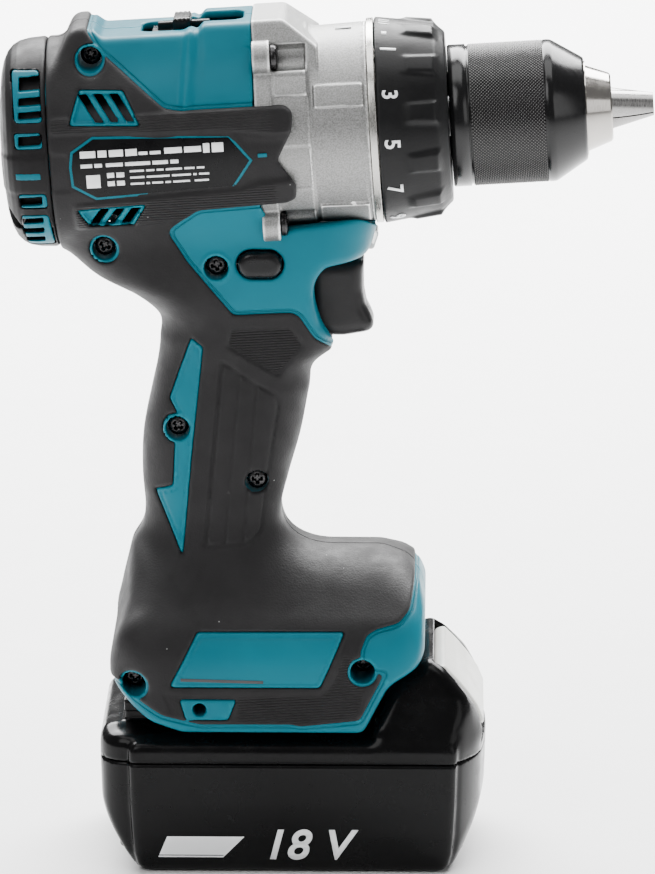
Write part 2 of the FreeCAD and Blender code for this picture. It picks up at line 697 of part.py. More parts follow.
# ---- controls -----------------------------------------------------------------------
def speed_selector():
    """Slide with its knob, the link over the first stage and the wire fork."""
    plate = block(-64, -45.5, -6.6, 6.6, 29.4, 31.4)
    knob = block(-57.4, -51.9, -6.0, 6.0, 31.4, 37.4)
    rib = block(-62, -46.5, -1.5, 1.5, 31.4, 34.6)
    riser = block(-49, -46, -1.5, 1.5, 25.0, 29.5)
    link = block(-47, -30.2, -1.5, 1.5, 25.0, 26.6)
    wire = tube(-31.8, -30.2, 24.2, 25.6).cut(block(-40, -20, -40, 40, -40, -1))
    pins = [block(-31.6, -30.4, *sorted((side * 22.4, side * 24.6)), -0.9, 0.9) for side in (-1, 1)]
    return in_head(fuse([plate, knob, rib, riser, link, wire] + pins))


def trigger():
    """Curved finger pad, hollow behind, with the stem that works the switch."""
    face = [V(11.6, 0, 184.8), V(10.9, 0, 175.0), V(14.7, 0, 163.6)]
    under = [V(14.7, 0, 163.6), V(13.0, 0, 161.6), V(5.0, 0, 160.6)]
    back = [V(5.0, 0, 160.6), V(-5.5, 0, 161.0), V(-5.5, 0, 183.2), V(0.5, 0, 184.1), V(11.6, 0, 184.8)]
    edges = [Part.Arc(*face).toShape(), Part.Arc(*under).toShape()]
    edges += [Part.makeLine(back[k], back[k + 1]) for k in range(len(back) - 1)]
    pad = Part.Face(Part.Wire(edges)).extrude(V(0, 2 * TRIGGER_Y, 0))
    pad.translate(V(0, -TRIGGER_Y, 0))
    hollow = block(-7, 7, -TRIGGER_Y + 2, TRIGGER_Y - 2, 163, 182)
    stem = block(-12, 8, -3, 3, 170, 176)
    return shifted(fuse([pad.cut(hollow), stem]))


def trigger_switch():
    body = block(-43, -14, -8.5, 8.5, 150, 180)
    return shifted(body.cut(block(-22, -13, -3.4, 3.4, 169.6, 176.4)))


def reverse_lever():
    bar = pill(-19.8, 186.1, 13.2, 8.1, -LEVER_HALF, LEVER_HALF)
    waist = block(-27, -12.6, -15, 15, 181, 184).fuse(block(-27, -12.6, -15, 15, 188.2, 191))
    return shifted(bar.cut(waist))


def light_lens():
    lens = [(9.6, 187.2), (14.2, 187.2), (15.9, 192.2), (11.4, 193.0)]
    return shifted(side_prism(lens, -5, 5))


def controller():
    tray = block(-46, 6, -22, 22, 62, 64)
    walls = block(-46, 6, -22, 22, 64, 70).cut(block(-44.5, 4.5, -20.5, 20.5, 63, 71))
    caps = [upright(-30 + 16 * k, -12, 5, 64, 69) for k in range(2)]
    chips = [block(-38 + 12 * k, -30 + 12 * k, 4, 14, 64, 67) for k in range(3)]
    return shifted(fuse([tray, walls] + caps + chips))


def terminal_block():
    base = block(-52.8, -31, -16, 16, 53.2, 60)
    blades = [block(-52, -34, y - 0.4, y + 0.4, 47, 53.4) for y in (-11, 11)]
    return shifted(fuse([base] + blades))


def rating_plate():
    outline = [(-88.1, -3), (-82, 5.4), (-41.9, 3.8), (-36.2, -3.5), (-41.5, -11.1), (-82, -12.6),
               (-88.4, -8.4)]
    skin = tube(-92, -34, BARREL_R + RUBBER + 0.02, BARREL_R + RUBBER + 0.4, 0, -BARREL_DROP)
    return in_head(skin.common(side_prism(outline, -60, 0)))


# ---- battery ------------------------------------------------------------------------
# height, inset of the case outline
CASE_ROWS = [(0, 5.4), (1.4, 3.6), (4.2, 2.2), (10, 1.2), (22, 0.4), (CASE_TOP, 0)]
REAR_X = -68.4
FRONT_X = 48.5


def case_wire(inset, z):
    """Case outline: rounded rear, front drawn out to the middle."""
    i = inset
    y = CASE_Y - i
    rear = REAR_X + i
    front = FRONT_X - i * 0.8
    r = 9.0
    corner = math.radians(45)
    near = [V(38.5 - i, y, z), V(46.4 - i, 24, z), V(front, 12, z)]
    far = [V(front, -12, z), V(46.4 - i, -24, z), V(38.5 - i, -y, z)]
    bend = r - r * math.cos(corner)
    back_a = [V(rear, y - r, z), V(rear + bend, y - bend, z), V(rear + r, y, z)]
    back_b = [V(rear + r, -y, z), V(rear + bend, -y + bend, z), V(rear, -y + r, z)]
    edges = [Part.Arc(*near).toShape(), Part.makeLine(near[2], far[0]), Part.Arc(*far).toShape(),
             Part.makeLine(far[2], back_b[0]), Part.Arc(*back_b).toShape(),
             Part.makeLine(back_b[2], back_a[0]), Part.Arc(*back_a).toShape(),
             Part.makeLine(back_a[2], near[0])]
    return Part.Wire(edges)


def case_solid(grow=0.0):
    return Part.makeLoft([case_wire(i - grow, z) for z, i in CASE_ROWS], True, True)


BATTERY_SCREWS = [(-62, 29.6), (-62, -29.6), (41.9, 23), (41.9, -23)]


def battery_case():
    rows = [case_wire(4.8, 2.6), case_wire(3.2, 6), case_wire(2.4, CASE_TOP + 1)]
    hollow = Part.makeLoft(rows, True, True)
    posts = [upright(x, y, 4.0, 2, CASE_TOP) for x, y in BATTERY_SCREWS]
    case = fuse([case_solid().cut(hollow)] + posts)
    cuts = [upright(x, y, SCREW_R + 0.1, -1, CASE_TOP + 1) for x, y in BATTERY_SCREWS]
    cuts += [upright(x, y, SCREW_HEAD_R + 0.2, -1, 6) for x, y in BATTERY_SCREWS]
    cuts.append(Part.makeCylinder(2.6, 8, V(REAR_X - 4, 14, 22), V(1, 0, 0)))
    return shifted(case.cut(cuts))


def battery_cover():
    """Upper case with the shoulder, the T rails and the hump behind the release button."""
    rows = [case_wire(0, CASE_TOP), case_wire(0.6, 40.5), case_wire(3.0, SHOULDER)]
    top = Part.makeLoft(rows, True, True)
    neck = block(-61, 34, -NECK_Y, NECK_Y, SHOULDER - 1, 48.6)
    rail = block(-61, 34, -RAIL_Y, RAIL_Y, 48.6, RAIL_TOP)
    hump_side = [(31.5, 43), (31.5, 63.3), (33, 63.9), (35.9, 61.7), (39.3, 58.0), (42.8, 53.8),
                 (45.8, 49.3), (47.9, 44.0), (48.3, 41), (40, 41)]
    hump = side_prism(hump_side, -34, 34)
    hump = hump.common(front_prism([(-34, 40), (34, 40), (23, 64), (-23, 64)], 31, 49))
    hump = hump.common(Part.makeLoft([case_wire(0.6, 40), case_wire(0.6, 66)], True, True))
    body = fuse([top, neck, rail, hump])
    room = Part.makeLoft([case_wire(2.4, CASE_TOP - 1), case_wire(3.2, 41)], True, True)
    room = room.cut([upright(x, y, 4.0, CASE_TOP - 2, 42) for x, y in BATTERY_SCREWS])
    hollow = fuse([room, block(-56, 20, -19, 19, 40, 46), block(20.5, 30, -10, 10, 44, 60),
                   block(20.5, 46, -20.4, 20.4, 44, 47), button_space()])
    grooves = [block(-62, -33, y - 1.4, y + 1.4, 46.6, RAIL_TOP + 1) for y in (-11, 11)]
    holes = [upright(x, y, SCREW_R + 0.1, 33, 39.5) for x, y in BATTERY_SCREWS]
    return shifted(body.cut([hollow] + grooves + holes))


def button_space():
    """Opening in the hump for the release button and its travel."""
    return side_prism([(26, 44), (29, 63), (34.2, 63), (50, 47.5), (50, 38.5), (44, 40)], -20.4, 20.4)


def release_button():
    """Sloping thumb pad with the latch hook behind it."""
    outline = [(32.6, 60.9), (34.2, 61.4), (45.6, 48.2), (46.2, 46.4), (44.2, 44.8), (31.4, 58.2)]
    pad = side_prism(outline, -20, 20)
    arm = block(24.4, 36, -7, 7, 50.4, 53.0).fuse(block(33, 41, -7, 7, 49.0, 53.0))
    hook = block(24.4, 27.8, -7, 7, 52.9, 57.2)
    return shifted(fuse([pad, arm, hook]))


def battery_cells():
    """Ten cells across the case in two layers of five."""
    cells = []
    for layer in range(2):
        for k in range(5):
            x = -48 + 19.2 * k
            cells.append(cross_rod(x, 12.2 + 19.0 * layer - 1.0 * layer, 9.0, -32.5, 32.5))
    return shifted(Part.makeCompound(cells))


def cell_straps():
    straps = []
    for side in (-1, 1):
        for k in range(5):
            x = -48 + 19.2 * k
            straps.append(block(x - 3.5, x + 3.5, *sorted((side * 32.5, side * 32.7)), 8, 34))
    return shifted(Part.makeCompound(straps))


def battery_board():
    board = block(-52, 16, -17, 17, 41.0, 42.4)
    sockets = [block(-50, -35, y - 3, y + 3, 42.4, 45.8).cut(block(-51, -34, y - 1.4, y + 1.4, 43.4, 46))
               for y in (-11, 11)]
    return shifted(fuse([board] + sockets))


def battery_screws():
    screws = [fuse([upright(x, y, SCREW_HEAD_R, 3.6, 6), upright(x, y, SCREW_R, 6, 39)])
              for x, y in BATTERY_SCREWS]
    return shifted(Part.makeCompound(screws))


def gauge_button():
    cap = Part.makeCylinder(2.3, 5, V(REAR_X - 0.4, 14, 22), V(1, 0, 0))
    rim = Part.makeCylinder(3.4, 0.8, V(REAR_X + 3.8, 14, 22), V(1, 0, 0))
    return shifted(fuse([cap, rim]))


# ---- output -------------------------------------------------------------------------
def save(name, shape):
    solids = shape.Solids
    kept = solids[0] if len(solids) == 1 else Part.makeCompound(solids)
    kept.exportStep("parts/" + name + ".step")
    state = "ok" if kept.isValid() else "INVALID"
    print(f"{name:22s} solids {len(solids):2d} volume {kept.Volume / 1000:8.2f} cm3 {state}")
    return kept.BoundBox


def main():
    box = FreeCAD.BoundBox()
    whole = housing()
    skin = grip_skin()
    for name, side in (("right", -1), ("left", 1)):
        box.add(save("housing_" + name, shifted(half(whole, side))))
        box.add(save("grip_" + name, shifted(half(skin, side))))
    for k in range(3):
        box.add(save(f"first_planet_{k + 1}", first_planet(k)))
        box.add(save(f"third_planet_{k + 1}", third_planet(k)))
        box.add(save(f"jaw_{k + 1}", jaw(k)))
    single = [rear_cover, rear_cover_screws, gear_housing, gear_housing_screws, motor_stator,
              motor_windings, rotor_core, rotor_shaft, fan, motor_bearings, gearbox_plate,
              first_ring_gear, third_ring_gear, shift_ring, first_carrier, second_planets,
              second_carrier, spindle, spindle_bearings, clutch_pins, clutch_washer, clutch_spring,
              clutch_nut, index_band, torque_ring, chuck_body, chuck_nut, chuck_sleeve, chuck_screw,
              speed_selector, trigger, trigger_switch, reverse_lever, light_lens, controller,
              terminal_block, rating_plate, battery_case, battery_cover, release_button,
              battery_cells, cell_straps, battery_board, battery_screws, gauge_button]
    for make in single:
        box.add(save(make.__name__, make()))
    box.add(save("housing_screws", shifted(housing_screws())))
    print("X %.2f %.2f" % (box.XMin, box.XMax))
    print("Y %.2f %.2f" % (box.YMin, box.YMax))
    print("Z %.2f %.2f" % (box.ZMin, box.ZMax))


main()
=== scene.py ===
import functools
import json
import math

import bmesh
import bpy
import numpy as np
from mathutils import Matrix, Vector

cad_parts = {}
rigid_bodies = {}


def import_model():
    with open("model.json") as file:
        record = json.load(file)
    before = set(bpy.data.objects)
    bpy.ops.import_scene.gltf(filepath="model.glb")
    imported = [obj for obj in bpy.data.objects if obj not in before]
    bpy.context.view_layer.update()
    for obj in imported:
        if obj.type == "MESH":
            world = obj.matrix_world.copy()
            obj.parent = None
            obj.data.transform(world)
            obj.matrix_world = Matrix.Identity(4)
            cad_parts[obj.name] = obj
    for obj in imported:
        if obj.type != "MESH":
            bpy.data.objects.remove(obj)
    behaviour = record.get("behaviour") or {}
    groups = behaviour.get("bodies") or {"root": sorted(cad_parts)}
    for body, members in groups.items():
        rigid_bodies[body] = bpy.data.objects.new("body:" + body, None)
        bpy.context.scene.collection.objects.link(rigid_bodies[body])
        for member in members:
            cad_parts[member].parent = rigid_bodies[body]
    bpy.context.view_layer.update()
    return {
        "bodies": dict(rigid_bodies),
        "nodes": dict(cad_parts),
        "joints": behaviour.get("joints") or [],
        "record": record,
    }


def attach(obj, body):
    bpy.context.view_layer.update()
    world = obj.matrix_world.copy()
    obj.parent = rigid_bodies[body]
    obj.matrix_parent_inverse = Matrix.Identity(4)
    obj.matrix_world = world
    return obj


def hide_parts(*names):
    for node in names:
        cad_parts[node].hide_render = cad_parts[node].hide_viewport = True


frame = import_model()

# ---- places taken from the frame -----------------------------------------------------
JOINTS = {joint["name"]: joint for joint in frame["joints"]}
MOUNTS = {mount["name"]: mount for mount in frame["record"]["mounts"]}
SPIN = JOINTS["spindle_spin"]
HEAD_POS = Vector(SPIN["pos_m"])
HEAD_AXIS = Vector(SPIN["axis"]).normalized()
TILT = math.atan2(HEAD_AXIS.z, HEAD_AXIS.x)
HOOK = MOUNTS["hook_hole_right"]["pos_m"]
HOOK_X, HOOK_Z = -37.8, 53.2         # hook hole in the body frame, mm
SHIFT_X = HOOK[0] * 1000 - HOOK_X    # body frame to object frame, mm
HEAD_X = HEAD_POS.x * 1000 - SHIFT_X
HEAD_Z = HEAD_POS.z * 1000
COS, SIN = math.cos(TILT), math.sin(TILT)

# ---- driving sizes, millimetres -------------------------------------------------------
STEP = 0.62    # cell of the moulded surfaces
WALL = 2.4
BARREL_R = 31.2
BARREL_DROP = 0.8
COVER_X = -95.5
FLANGE_X = -33.9
CASE_R = 30.4
RING_END = 23.3
SLEEVE_R = 21.3
FOOT_Y = 39.5
CASE_Y = 37.5
SHOULDER = 43.5


def head_point(x, z):
    """A head-frame point as an (x, z) pair of the body frame."""
    return (HEAD_X + x * COS - z * SIN, HEAD_Z + x * SIN + z * COS)


def to_head(x, z):
    dx, dz = x - HEAD_X, z - HEAD_Z
    return dx * COS + dz * SIN, -dx * SIN + dz * COS


HEAD_MATRIX = Matrix.Translation(HEAD_POS) @ Matrix.Rotation(-TILT, 4, "Y") @ Matrix.Scale(0.001, 4)
BODY_MATRIX = Matrix.Translation((SHIFT_X / 1000, 0, 0)) @ Matrix.Scale(0.001, 4)


# ---- distance helpers -----------------------------------------------------------------
def most(*values):
    """Largest of the values: the space that all the fields share."""
    return functools.reduce(np.maximum, values)


def least(*values):
    """Smallest of the values: the space of any of the fields."""
    return functools.reduce(np.minimum, values)


def slab(value, middle, half):
    return np.abs(value - middle) - half


def smooth_min(a, b, r):
    h = np.maximum(r - np.abs(a - b), 0) / r
    return np.minimum(a, b) - h * h * r * 0.25


def smooth_max(a, b, r):
    return -smooth_min(-a, -b, r)


def ramp(value, start, end):
    """0 before start, 1 after end, smooth between."""
    t = np.clip((value - start) / (end - start), 0, 1)
    return t * t * (3 - 2 * t)


def polygon(points, x, z):
    """Signed distance to a closed outline, negative inside."""
    best = np.full(x.shape, 1e9, np.float32)
    sign = np.ones(x.shape, np.float32)
    count = len(points)
    for k in range(count):
        ax, az = points[k]
        bx, bz = points[(k + 1) % count]
        ex, ez = bx - ax, bz - az
        wx, wz = x - ax, z - az
        t = np.clip((wx * ex + wz * ez) / (ex * ex + ez * ez), 0, 1)
        dx, dz = wx - ex * t, wz - ez * t
        best = least(best, dx * dx + dz * dz)
        above = (z >= az) != (z >= bz)
        left = (ex * wz - ez * wx) * (1 if bz > az else -1) > 0
        sign = np.where(above & left, -sign, sign)
    return np.sqrt(best) * sign


def curve(knots, values, z):
    """Smooth curve through the knots, flat beyond both ends."""
    knots, values = np.array(knots, np.float32), np.array(values, np.float32)
    slopes = np.gradient(values, knots)
    z = np.clip(z, knots[0], knots[-1])
    k = np.clip(np.searchsorted(knots, z) - 1, 0, len(knots) - 2)
    width = knots[k + 1] - knots[k]
    t = (z - knots[k]) / width
    return (values[k] * (1 + 2 * t) * (1 - t) ** 2 + slopes[k] * width * t * (1 - t) ** 2
            + values[k + 1] * t * t * (3 - 2 * t) + slopes[k + 1] * width * t * t * (t - 1))


def blurred(values, cells):
    """Box blur, three passes each way: rounds the corners of a distance map."""
    for _ in range(3):
        for axis in (0, 1):
            pad = [(0, 0), (0, 0)]
            pad[axis] = (cells + 1, cells)
            total = np.cumsum(np.pad(values, pad, mode="edge"), axis=axis)
            size = 2 * cells + 1
            high = np.take(total, range(size, total.shape[axis]), axis=axis)
            low = np.take(total, range(0, total.shape[axis] - size), axis=axis)
            values = (high - low) / size
    return values


class SideMap:
    """Values over the side view, read between its grid points."""
    cell = 0.3
    x = np.arange(-104, 60, 0.3, dtype=np.float32)
    z = np.arange(36, 268, 0.3, dtype=np.float32)
    gx, gz = np.meshgrid(x, z, indexing="ij")

    def __init__(self, values):
        self.values = values.astype(np.float32)

    def __call__(self, x, z):
        u = np.clip((x - SideMap.x[0]) / SideMap.cell, 0, len(SideMap.x) - 1.001)
        v = np.clip((z - SideMap.z[0]) / SideMap.cell, 0, len(SideMap.z) - 1.001)
        i, j = u.astype(np.int32), v.astype(np.int32)
        fu, fv = u - i, v - j
        g = self.values
        low = g[i, j] * (1 - fu) + g[i + 1, j] * fu
        high = g[i, j + 1] * (1 - fu) + g[i + 1, j + 1] * fu
        return low * (1 - fv) + high * fv


def side_outline(points, round_cells=0, head=False):
    """Distance map of a side outline, its corners rounded."""
    if head:
        points = [head_point(*p) for p in points]
    values = polygon(points, SideMap.gx, SideMap.gz)
    return blurred(values, round_cells) if round_cells else values


# ---- meshing --------------------------------------------------------------------------
CORNERS = [(0, 0, 0), (1, 0, 0), (0, 1, 0), (1, 1, 0), (0, 0, 1), (1, 0, 1), (0, 1, 1), (1, 1, 1)]
CELL_EDGES = [(a, b) for a in range(8) for b in range(a + 1, 8)
              if sum(abs(CORNERS[a][i] - CORNERS[b][i]) for i in range(3)) == 1]


def grid_values(field, low, step, blocks):
    """Field on a grid, worked out in full only in the blocks near the surface."""
    size = 4
    centres = [low[i] + (np.arange(blocks[i]) + 0.5) * size * step for i in range(3)]
    cx, cy, cz = np.meshgrid(*centres, indexing="ij")
    middle = field(cx.ravel().astype(np.float32), cy.ravel().astype(np.float32),
                   cz.ravel().astype(np.float32)).reshape(blocks)
    values = middle.astype(np.float32)
    for axis in range(3):
        values = np.repeat(values, size, axis=axis)
    values = np.pad(values, ((0, 1), (0, 1), (0, 1)), mode="edge")
    near = np.argwhere(np.abs(middle) < size * step * 1.25)
    offsets = np.array([(i, j, k) for i in range(size + 1) for j in range(size + 1)
                        for k in range(size + 1)])
    for start in range(0, len(near), 6000):
        nodes = (near[start:start + 6000, None, :] * size + offsets[None]).reshape(-1, 3)
        places = (nodes * step + low).astype(np.float32)
        values[nodes[:, 0], nodes[:, 1], nodes[:, 2]] = field(places[:, 0], places[:, 1], places[:, 2])
    return values


def net_surface(field, low, high, step):
    """Closed quad surface where the field is zero, its points moved onto the surface."""
    low = np.array(low, float)
    blocks = tuple(int(math.ceil((high[i] - low[i]) / (4 * step))) for i in range(3))
    values = grid_values(field, low, step, blocks)
    inside = values < 0
    count = np.zeros([s - 1 for s in inside.shape], np.int8)
    for corner in CORNERS:
        count += inside[tuple(slice(c, c + s - 1) for c, s in zip(corner, inside.shape))]
    cells = np.argwhere((count > 0) & (count < 8))
    index = np.full(count.shape, -1, np.int32)
    index[cells[:, 0], cells[:, 1], cells[:, 2]] = np.arange(len(cells))
    at = [values[cells[:, 0] + c[0], cells[:, 1] + c[1], cells[:, 2] + c[2]] for c in CORNERS]
    total = np.zeros((len(cells), 3))
    hits = np.zeros(len(cells))
    for a, b in CELL_EDGES:
        cross = (at[a] < 0) != (at[b] < 0)
        t = np.where(cross, at[a] / np.where(cross, at[a] - at[b], 1), 0)
        start, end = np.array(CORNERS[a]), np.array(CORNERS[b])
        total += np.where(cross[:, None], start + t[:, None] * (end - start), 0)
        hits += cross
    points = low + (cells + total / hits[:, None]) * step
    faces = []
    for axis in range(3):
        u, v = [(1, 2), (2, 0), (0, 1)][axis]
        first = [slice(None)] * 3
        second = [slice(None)] * 3
        first[axis], second[axis] = slice(0, -1), slice(1, None)
        change = inside[tuple(first)] != inside[tuple(second)]
        spots = np.argwhere(change)
        spots = spots[(spots[:, u] > 0) & (spots[:, v] > 0)
                      & (spots[:, u] < count.shape[u]) & (spots[:, v] < count.shape[v])]
        solid = inside[spots[:, 0], spots[:, 1], spots[:, 2]]
        ring = []
        for du, dv in ((-1, -1), (0, -1), (0, 0), (-1, 0)):
            cell = spots.copy()
            cell[:, u] += du
            cell[:, v] += dv
            ring.append(index[cell[:, 0], cell[:, 1], cell[:, 2]])
        quads = np.stack(ring, 1)
        quads[~solid] = quads[~solid][:, ::-1]
        faces.append(quads)
    faces = np.concatenate(faces)
    points = settle(field, points, step)
    return points, faces[(faces >= 0).all(1)]


def settle(field, points, step, rounds=3):
    """Newton steps onto the surface, each at most half a cell long."""
    gap = 0.06
    for _ in range(rounds):
        p = points.astype(np.float32)
        value = field(p[:, 0], p[:, 1], p[:, 2])
        slope = np.stack([field(p[:, 0] + gap, p[:, 1], p[:, 2]) - value,
                          field(p[:, 0], p[:, 1] + gap, p[:, 2]) - value,
                          field(p[:, 0], p[:, 1], p[:, 2] + gap) - value], 1) / gap
        length = most((slope ** 2).sum(1), 0.2)
        move = -value[:, None] * slope / length[:, None]
        reach = np.sqrt((move ** 2).sum(1))
        move *= least(1, 0.5 * step / most(reach, 1e-9))[:, None]
        points = points + move
    return points


def linked(name, data):
    obj = bpy.data.objects.new(name, data)
    bpy.context.scene.collection.objects.link(obj)
    return obj


def taken(obj, graph):
    """The object's mesh with its modifiers applied; the object itself goes."""
    mesh = bpy.data.meshes.new_from_object(obj.evaluated_get(graph), depsgraph=graph)
    bpy.data.objects.remove(obj)
    return mesh


def new_object(name, points, faces, matrix, mirror=False):
    """Mesh object from points in mm; mirror gives the other side of the tool."""
    points = np.asarray(points, float)
    faces = np.asarray(faces)
    if mirror:
        points = points * (1, -1, 1)
        faces = faces[:, ::-1]
    m = np.array(matrix)
    points = points @ m[:3, :3].T + m[:3, 3]
    mesh = bpy.data.meshes.new(name)
    mesh.vertices.add(len(points))
    mesh.vertices.foreach_set("co", points.astype(np.float32).ravel())
    mesh.loops.add(faces.size)
    mesh.loops.foreach_set("vertex_index", faces.astype(np.int32).ravel())
    mesh.polygons.add(len(faces))
    mesh.polygons.foreach_set("loop_start", np.arange(0, faces.size, faces.shape[1], dtype=np.int32))
    mesh.polygons.foreach_set("use_smooth", np.ones(len(faces), bool))
    mesh.update(calc_edges=True)
    mesh.validate()
    return linked(name, mesh)


def thinned(points, faces, share):
    """The same surface as triangles, that share of them kept."""
    obj = new_object("thinned", points, faces, Matrix.Identity(4))
    thin = obj.modifiers.new("thin", "DECIMATE")
    thin.ratio = share
    mesh = taken(obj, bpy.context.evaluated_depsgraph_get())
    mesh.calc_loop_triangles()
    points = np.empty(len(mesh.vertices) * 3, np.float32)
    mesh.vertices.foreach_get("co", points)
    faces = np.empty(len(mesh.loop_triangles) * 3, np.int32)
    mesh.loop_triangles.foreach_get("vertices", faces)
    bpy.data.meshes.remove(mesh)
    return points.reshape(-1, 3).astype(float), faces.reshape(-1, 3)


def dress(obj, material, body, slot, *nodes):
    """Gives a piece its material and body, and hides the CAD nodes it stands for; the slot argument is not
    used.
    """
    obj.data.materials.clear()
    obj.data.materials.append(material)
    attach(obj, body)
    if nodes:
        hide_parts(*nodes)
    return obj


def moulded(name, form, low, high, step, matrix, kind, body, slot, *nodes):
    """Piece whose surface is the zero of a field, dressed."""
    made = new_object(name, *net_surface(form, low, high, step), matrix)
    return dress(made, MATERIAL[kind], body, slot, *nodes)


def crisp(obj, width=0.0, segments=2, angle=35):
    """Bevel, then normals weighted by face area."""
    if width:
        bevel = obj.modifiers.new("bevel", "BEVEL")
        bevel.width = width / 1000
        bevel.segments = segments
        bevel.limit_method = "ANGLE"
        bevel.angle_limit = math.radians(angle)
    weights = obj.modifiers.new("weights", "WEIGHTED_NORMAL")
    weights.keep_sharp = True
    return obj


# ---- outer form of housing, handle and foot, millimetres in the body frame -------------
# height, rear x, front x, half width of the handle
HANDLE = np.array([(84, -57.0, -9.0, 20), (98, -53.7, -14.6, 18.6), (108, -54.3, -14.9, 17.8),
                   (118, -55.1, -12.6, 17.4), (131, -54.7, -9.0, 17.2), (145, -52.0, -6.3, 17.0),
                   (153, -50.3, -4.6, 17.2), (160, -49.5, 4.0, 18.0), (168, -50.2, 7.5, 19.0),
                   (174, -57.5, 10.0, 20.0), (180, -69.0, 11.6, 20.4), (187, -75.6, 12.6, 20.5),
                   (192, -76.0, 14.0, 20.5), (197, -74.0, 15.4, 20.5), (204, -71.0, 15.6, 20.5)])
TABLE_Z = np.arange(80, 210, 0.1)
HANDLE_REAR, HANDLE_FRONT, HANDLE_HALF = [curve(HANDLE[:, 0], HANDLE[:, k], TABLE_Z) for k in (1, 2, 3)]
FOOT_SIDE = [(11.4, 45.6), (18.3, 59.0), (20.5, 61.3), (28.0, 65.3), (30.2, 69.0), (30.6, 80.0),
             (28.0, 86.8), (23.4, 91.2), (16.5, 93.6), (-56.0, 93.8), (-58.3, 82.5), (-63.4, 70.7),
             (-65.0, 65.0), (-65.0, 58.8), (-58.0, 52.7), (-52.8, 48.9), (-43.0, 45.6)]
POCKET = [(26, 187.4), (4, 185.2), (-0.5, 184.6), (-3.2, 181.0), (-4.0, 177.0), (-3.5, 172.7), (-1.8, 166.8),
          (1.7, 161.0), (4.6, 159.3), (10, 158.4), (26, 156.0)]
# screw bosses: x, z, half length, seen from the right side
HEAD_BOSS = head_point(-82.0, 26.8)
BOSSES = [(*HEAD_BOSS, 17.0), (-66.3, 190.4, 18.0), (-32.9, 185.0, 20.6), (-44.8, 134.5, 16.4),
          (-21.0, 118.1, 13.6), (11.2, 65.0, 38.9), (-57.6, 60.0, 25.0)]
BOSS_R, BOSS_HOLE_R = 4.4, 3.7
PLAIN_BOSS = 4                       # this one sits in the rubber, without a teal rim
SCREW_DEPTHS = [8.0, 4.4, 3.6, 3.2, 3.4, 11.0, 9.0]
LEVER_X, LEVER_Z = -19.8, 186.1
INSERT = [(-40.6, 162.8), (-37.0, 160.0), (-40.4, 128.0), (-43.3, 95.2), (-51.8, 114.7), (-46.3, 116.8),
          (-45.7, 130.0), (-44.4, 138.5), (-47.3, 143.3)]
HOOK_PANEL = [(-38.5, 76.4), (5.8, 76.6), (-1.6, 60.2), (-46.4, 60.2), (-46.4, 61.1)]
HOOK_SPOT = [(-43.8, 56.3), (-26.7, 56.3), (-29.2, 50.0), (-41.9, 50.0)]
LOWER_PANEL = [(-49.3, 58.6), (-43.0, 57.9), (-1.9, 58.6), (1.4, 61.6), (6.4, 75.0), (13, 60), (10.0, 49.6),
               (-7.9, 47.6), (-37.8, 48.2), (-46.2, 51.0)]
UPPER_VENT = [(-85.4, 19.1), (-72.5, 18.4), (-67.6, 8.3), (-88.9, 9.4)]
LOWER_VENT = [(-88.5, -16.6), (-67.4, -15.7), (-71.8, -22.6), (-85.0, -22.7)]
LABEL = [(-88.1, 1.5), (-81.9, 5.4), (-41.9, 3.8), (-36.1, -3.5), (-41.5, -11.1), (-82.0, -12.6),
         (-88.4, -8.4), (-88.7, -2.7)]
RUBBER_EDGE = ([head_point(*p) for p in [(-95.3, 60), (-83.0, 60), (-83.0, 38.0), (-82.6, 34.5),
                                         (-79.5, 29.5), (-60.5, 12.9), (-56.5, 12.0), (-24.9, 12.0),
                                         (-22.6, 10.0), (-23.1, 4.6), (-27.9, -4.2), (-22.8, -12.2),
                                         (-23.0, -16.6), (-26.1, -17.9), (-52.5, -18.9),
                                         (-61.3, -24.8)]]
               + [(-46.8, 195.4), (-41.5, 187.0), (-27.8, 170.3), (-10.4, 171.2), (-8.1, 170.0),
                  (-3.8, 163.2), (0.9, 159.5), (1.6, 157.0), (14, 150), (14, 104), (26, 104), (27.4, 91.0),
                  (25.3, 81.9), (21.9, 78.8), (15.2, 77.2), (12.3, 75.6), (10.4, 70.8), (11.2, 65.0),
                  (17.7, 64.6), (10.3, 49.9), (-7.9, 47.9), (-10.1, 48.6), (-37.8, 48.5),
                  (-49.0, 51.3), (-57.2, 56.3), (-61.5, 60.2), (-70, 61), (-90, 120), (-102, 170)]
               + [head_point(-95.3, -60)])


def rounded_box(x, y, middle, reach, half, r):
    qx, qy = slab(x, middle, reach) + r, np.abs(y) - half + r
    return np.hypot(most(qx, 0), most(qy, 0)) + least(most(qx, qy), 0) - r


def handle_form(x, y, z):
    rear = np.interp(z, TABLE_Z, HANDLE_REAR)
    front = np.interp(z, TABLE_Z, HANDLE_FRONT)
    half = np.interp(z, TABLE_Z, HANDLE_HALF)
    middle, reach = (rear + front) / 2, (front - rear) / 2
    t = ramp(x, middle - 5, middle + 5)
    r = least(half * (0.9 - 0.16 * t), reach - 1)
    return most(rounded_box(x, y, middle, reach, half, r), z - 206, 84 - z)


def plan_box(x, y, rear, front, half, r_rear, r_front):
    """Rounded rectangle seen from above."""
    middle, reach = (rear + front) / 2, (front - rear) / 2
    return rounded_box(x, y, middle, reach, half, np.where(x < middle, r_rear, r_front))


FOOT_MAP = SideMap(side_outline(FOOT_SIDE, 3))


def foot_form(x, y, z):
    side = FOOT_MAP(x, z)
    slope = (np.abs(y) - FOOT_Y) * 0.617 + (z - 74.0) * 0.787
    plan = plan_box(x, y, -65.2, 30.6, FOOT_Y, 17, 11)
    return smooth_max(smooth_max(side, plan, 2.5), slope, 8)


def barrel_form(hx, y, hz, front):
    taper = 0.5 * ramp(-hx, 62, 96)
    round_part = np.hypot(y, hz + BARREL_DROP) - BARREL_R + taper
    return most(round_part, hx - front, COVER_X + 0.15 - hx)


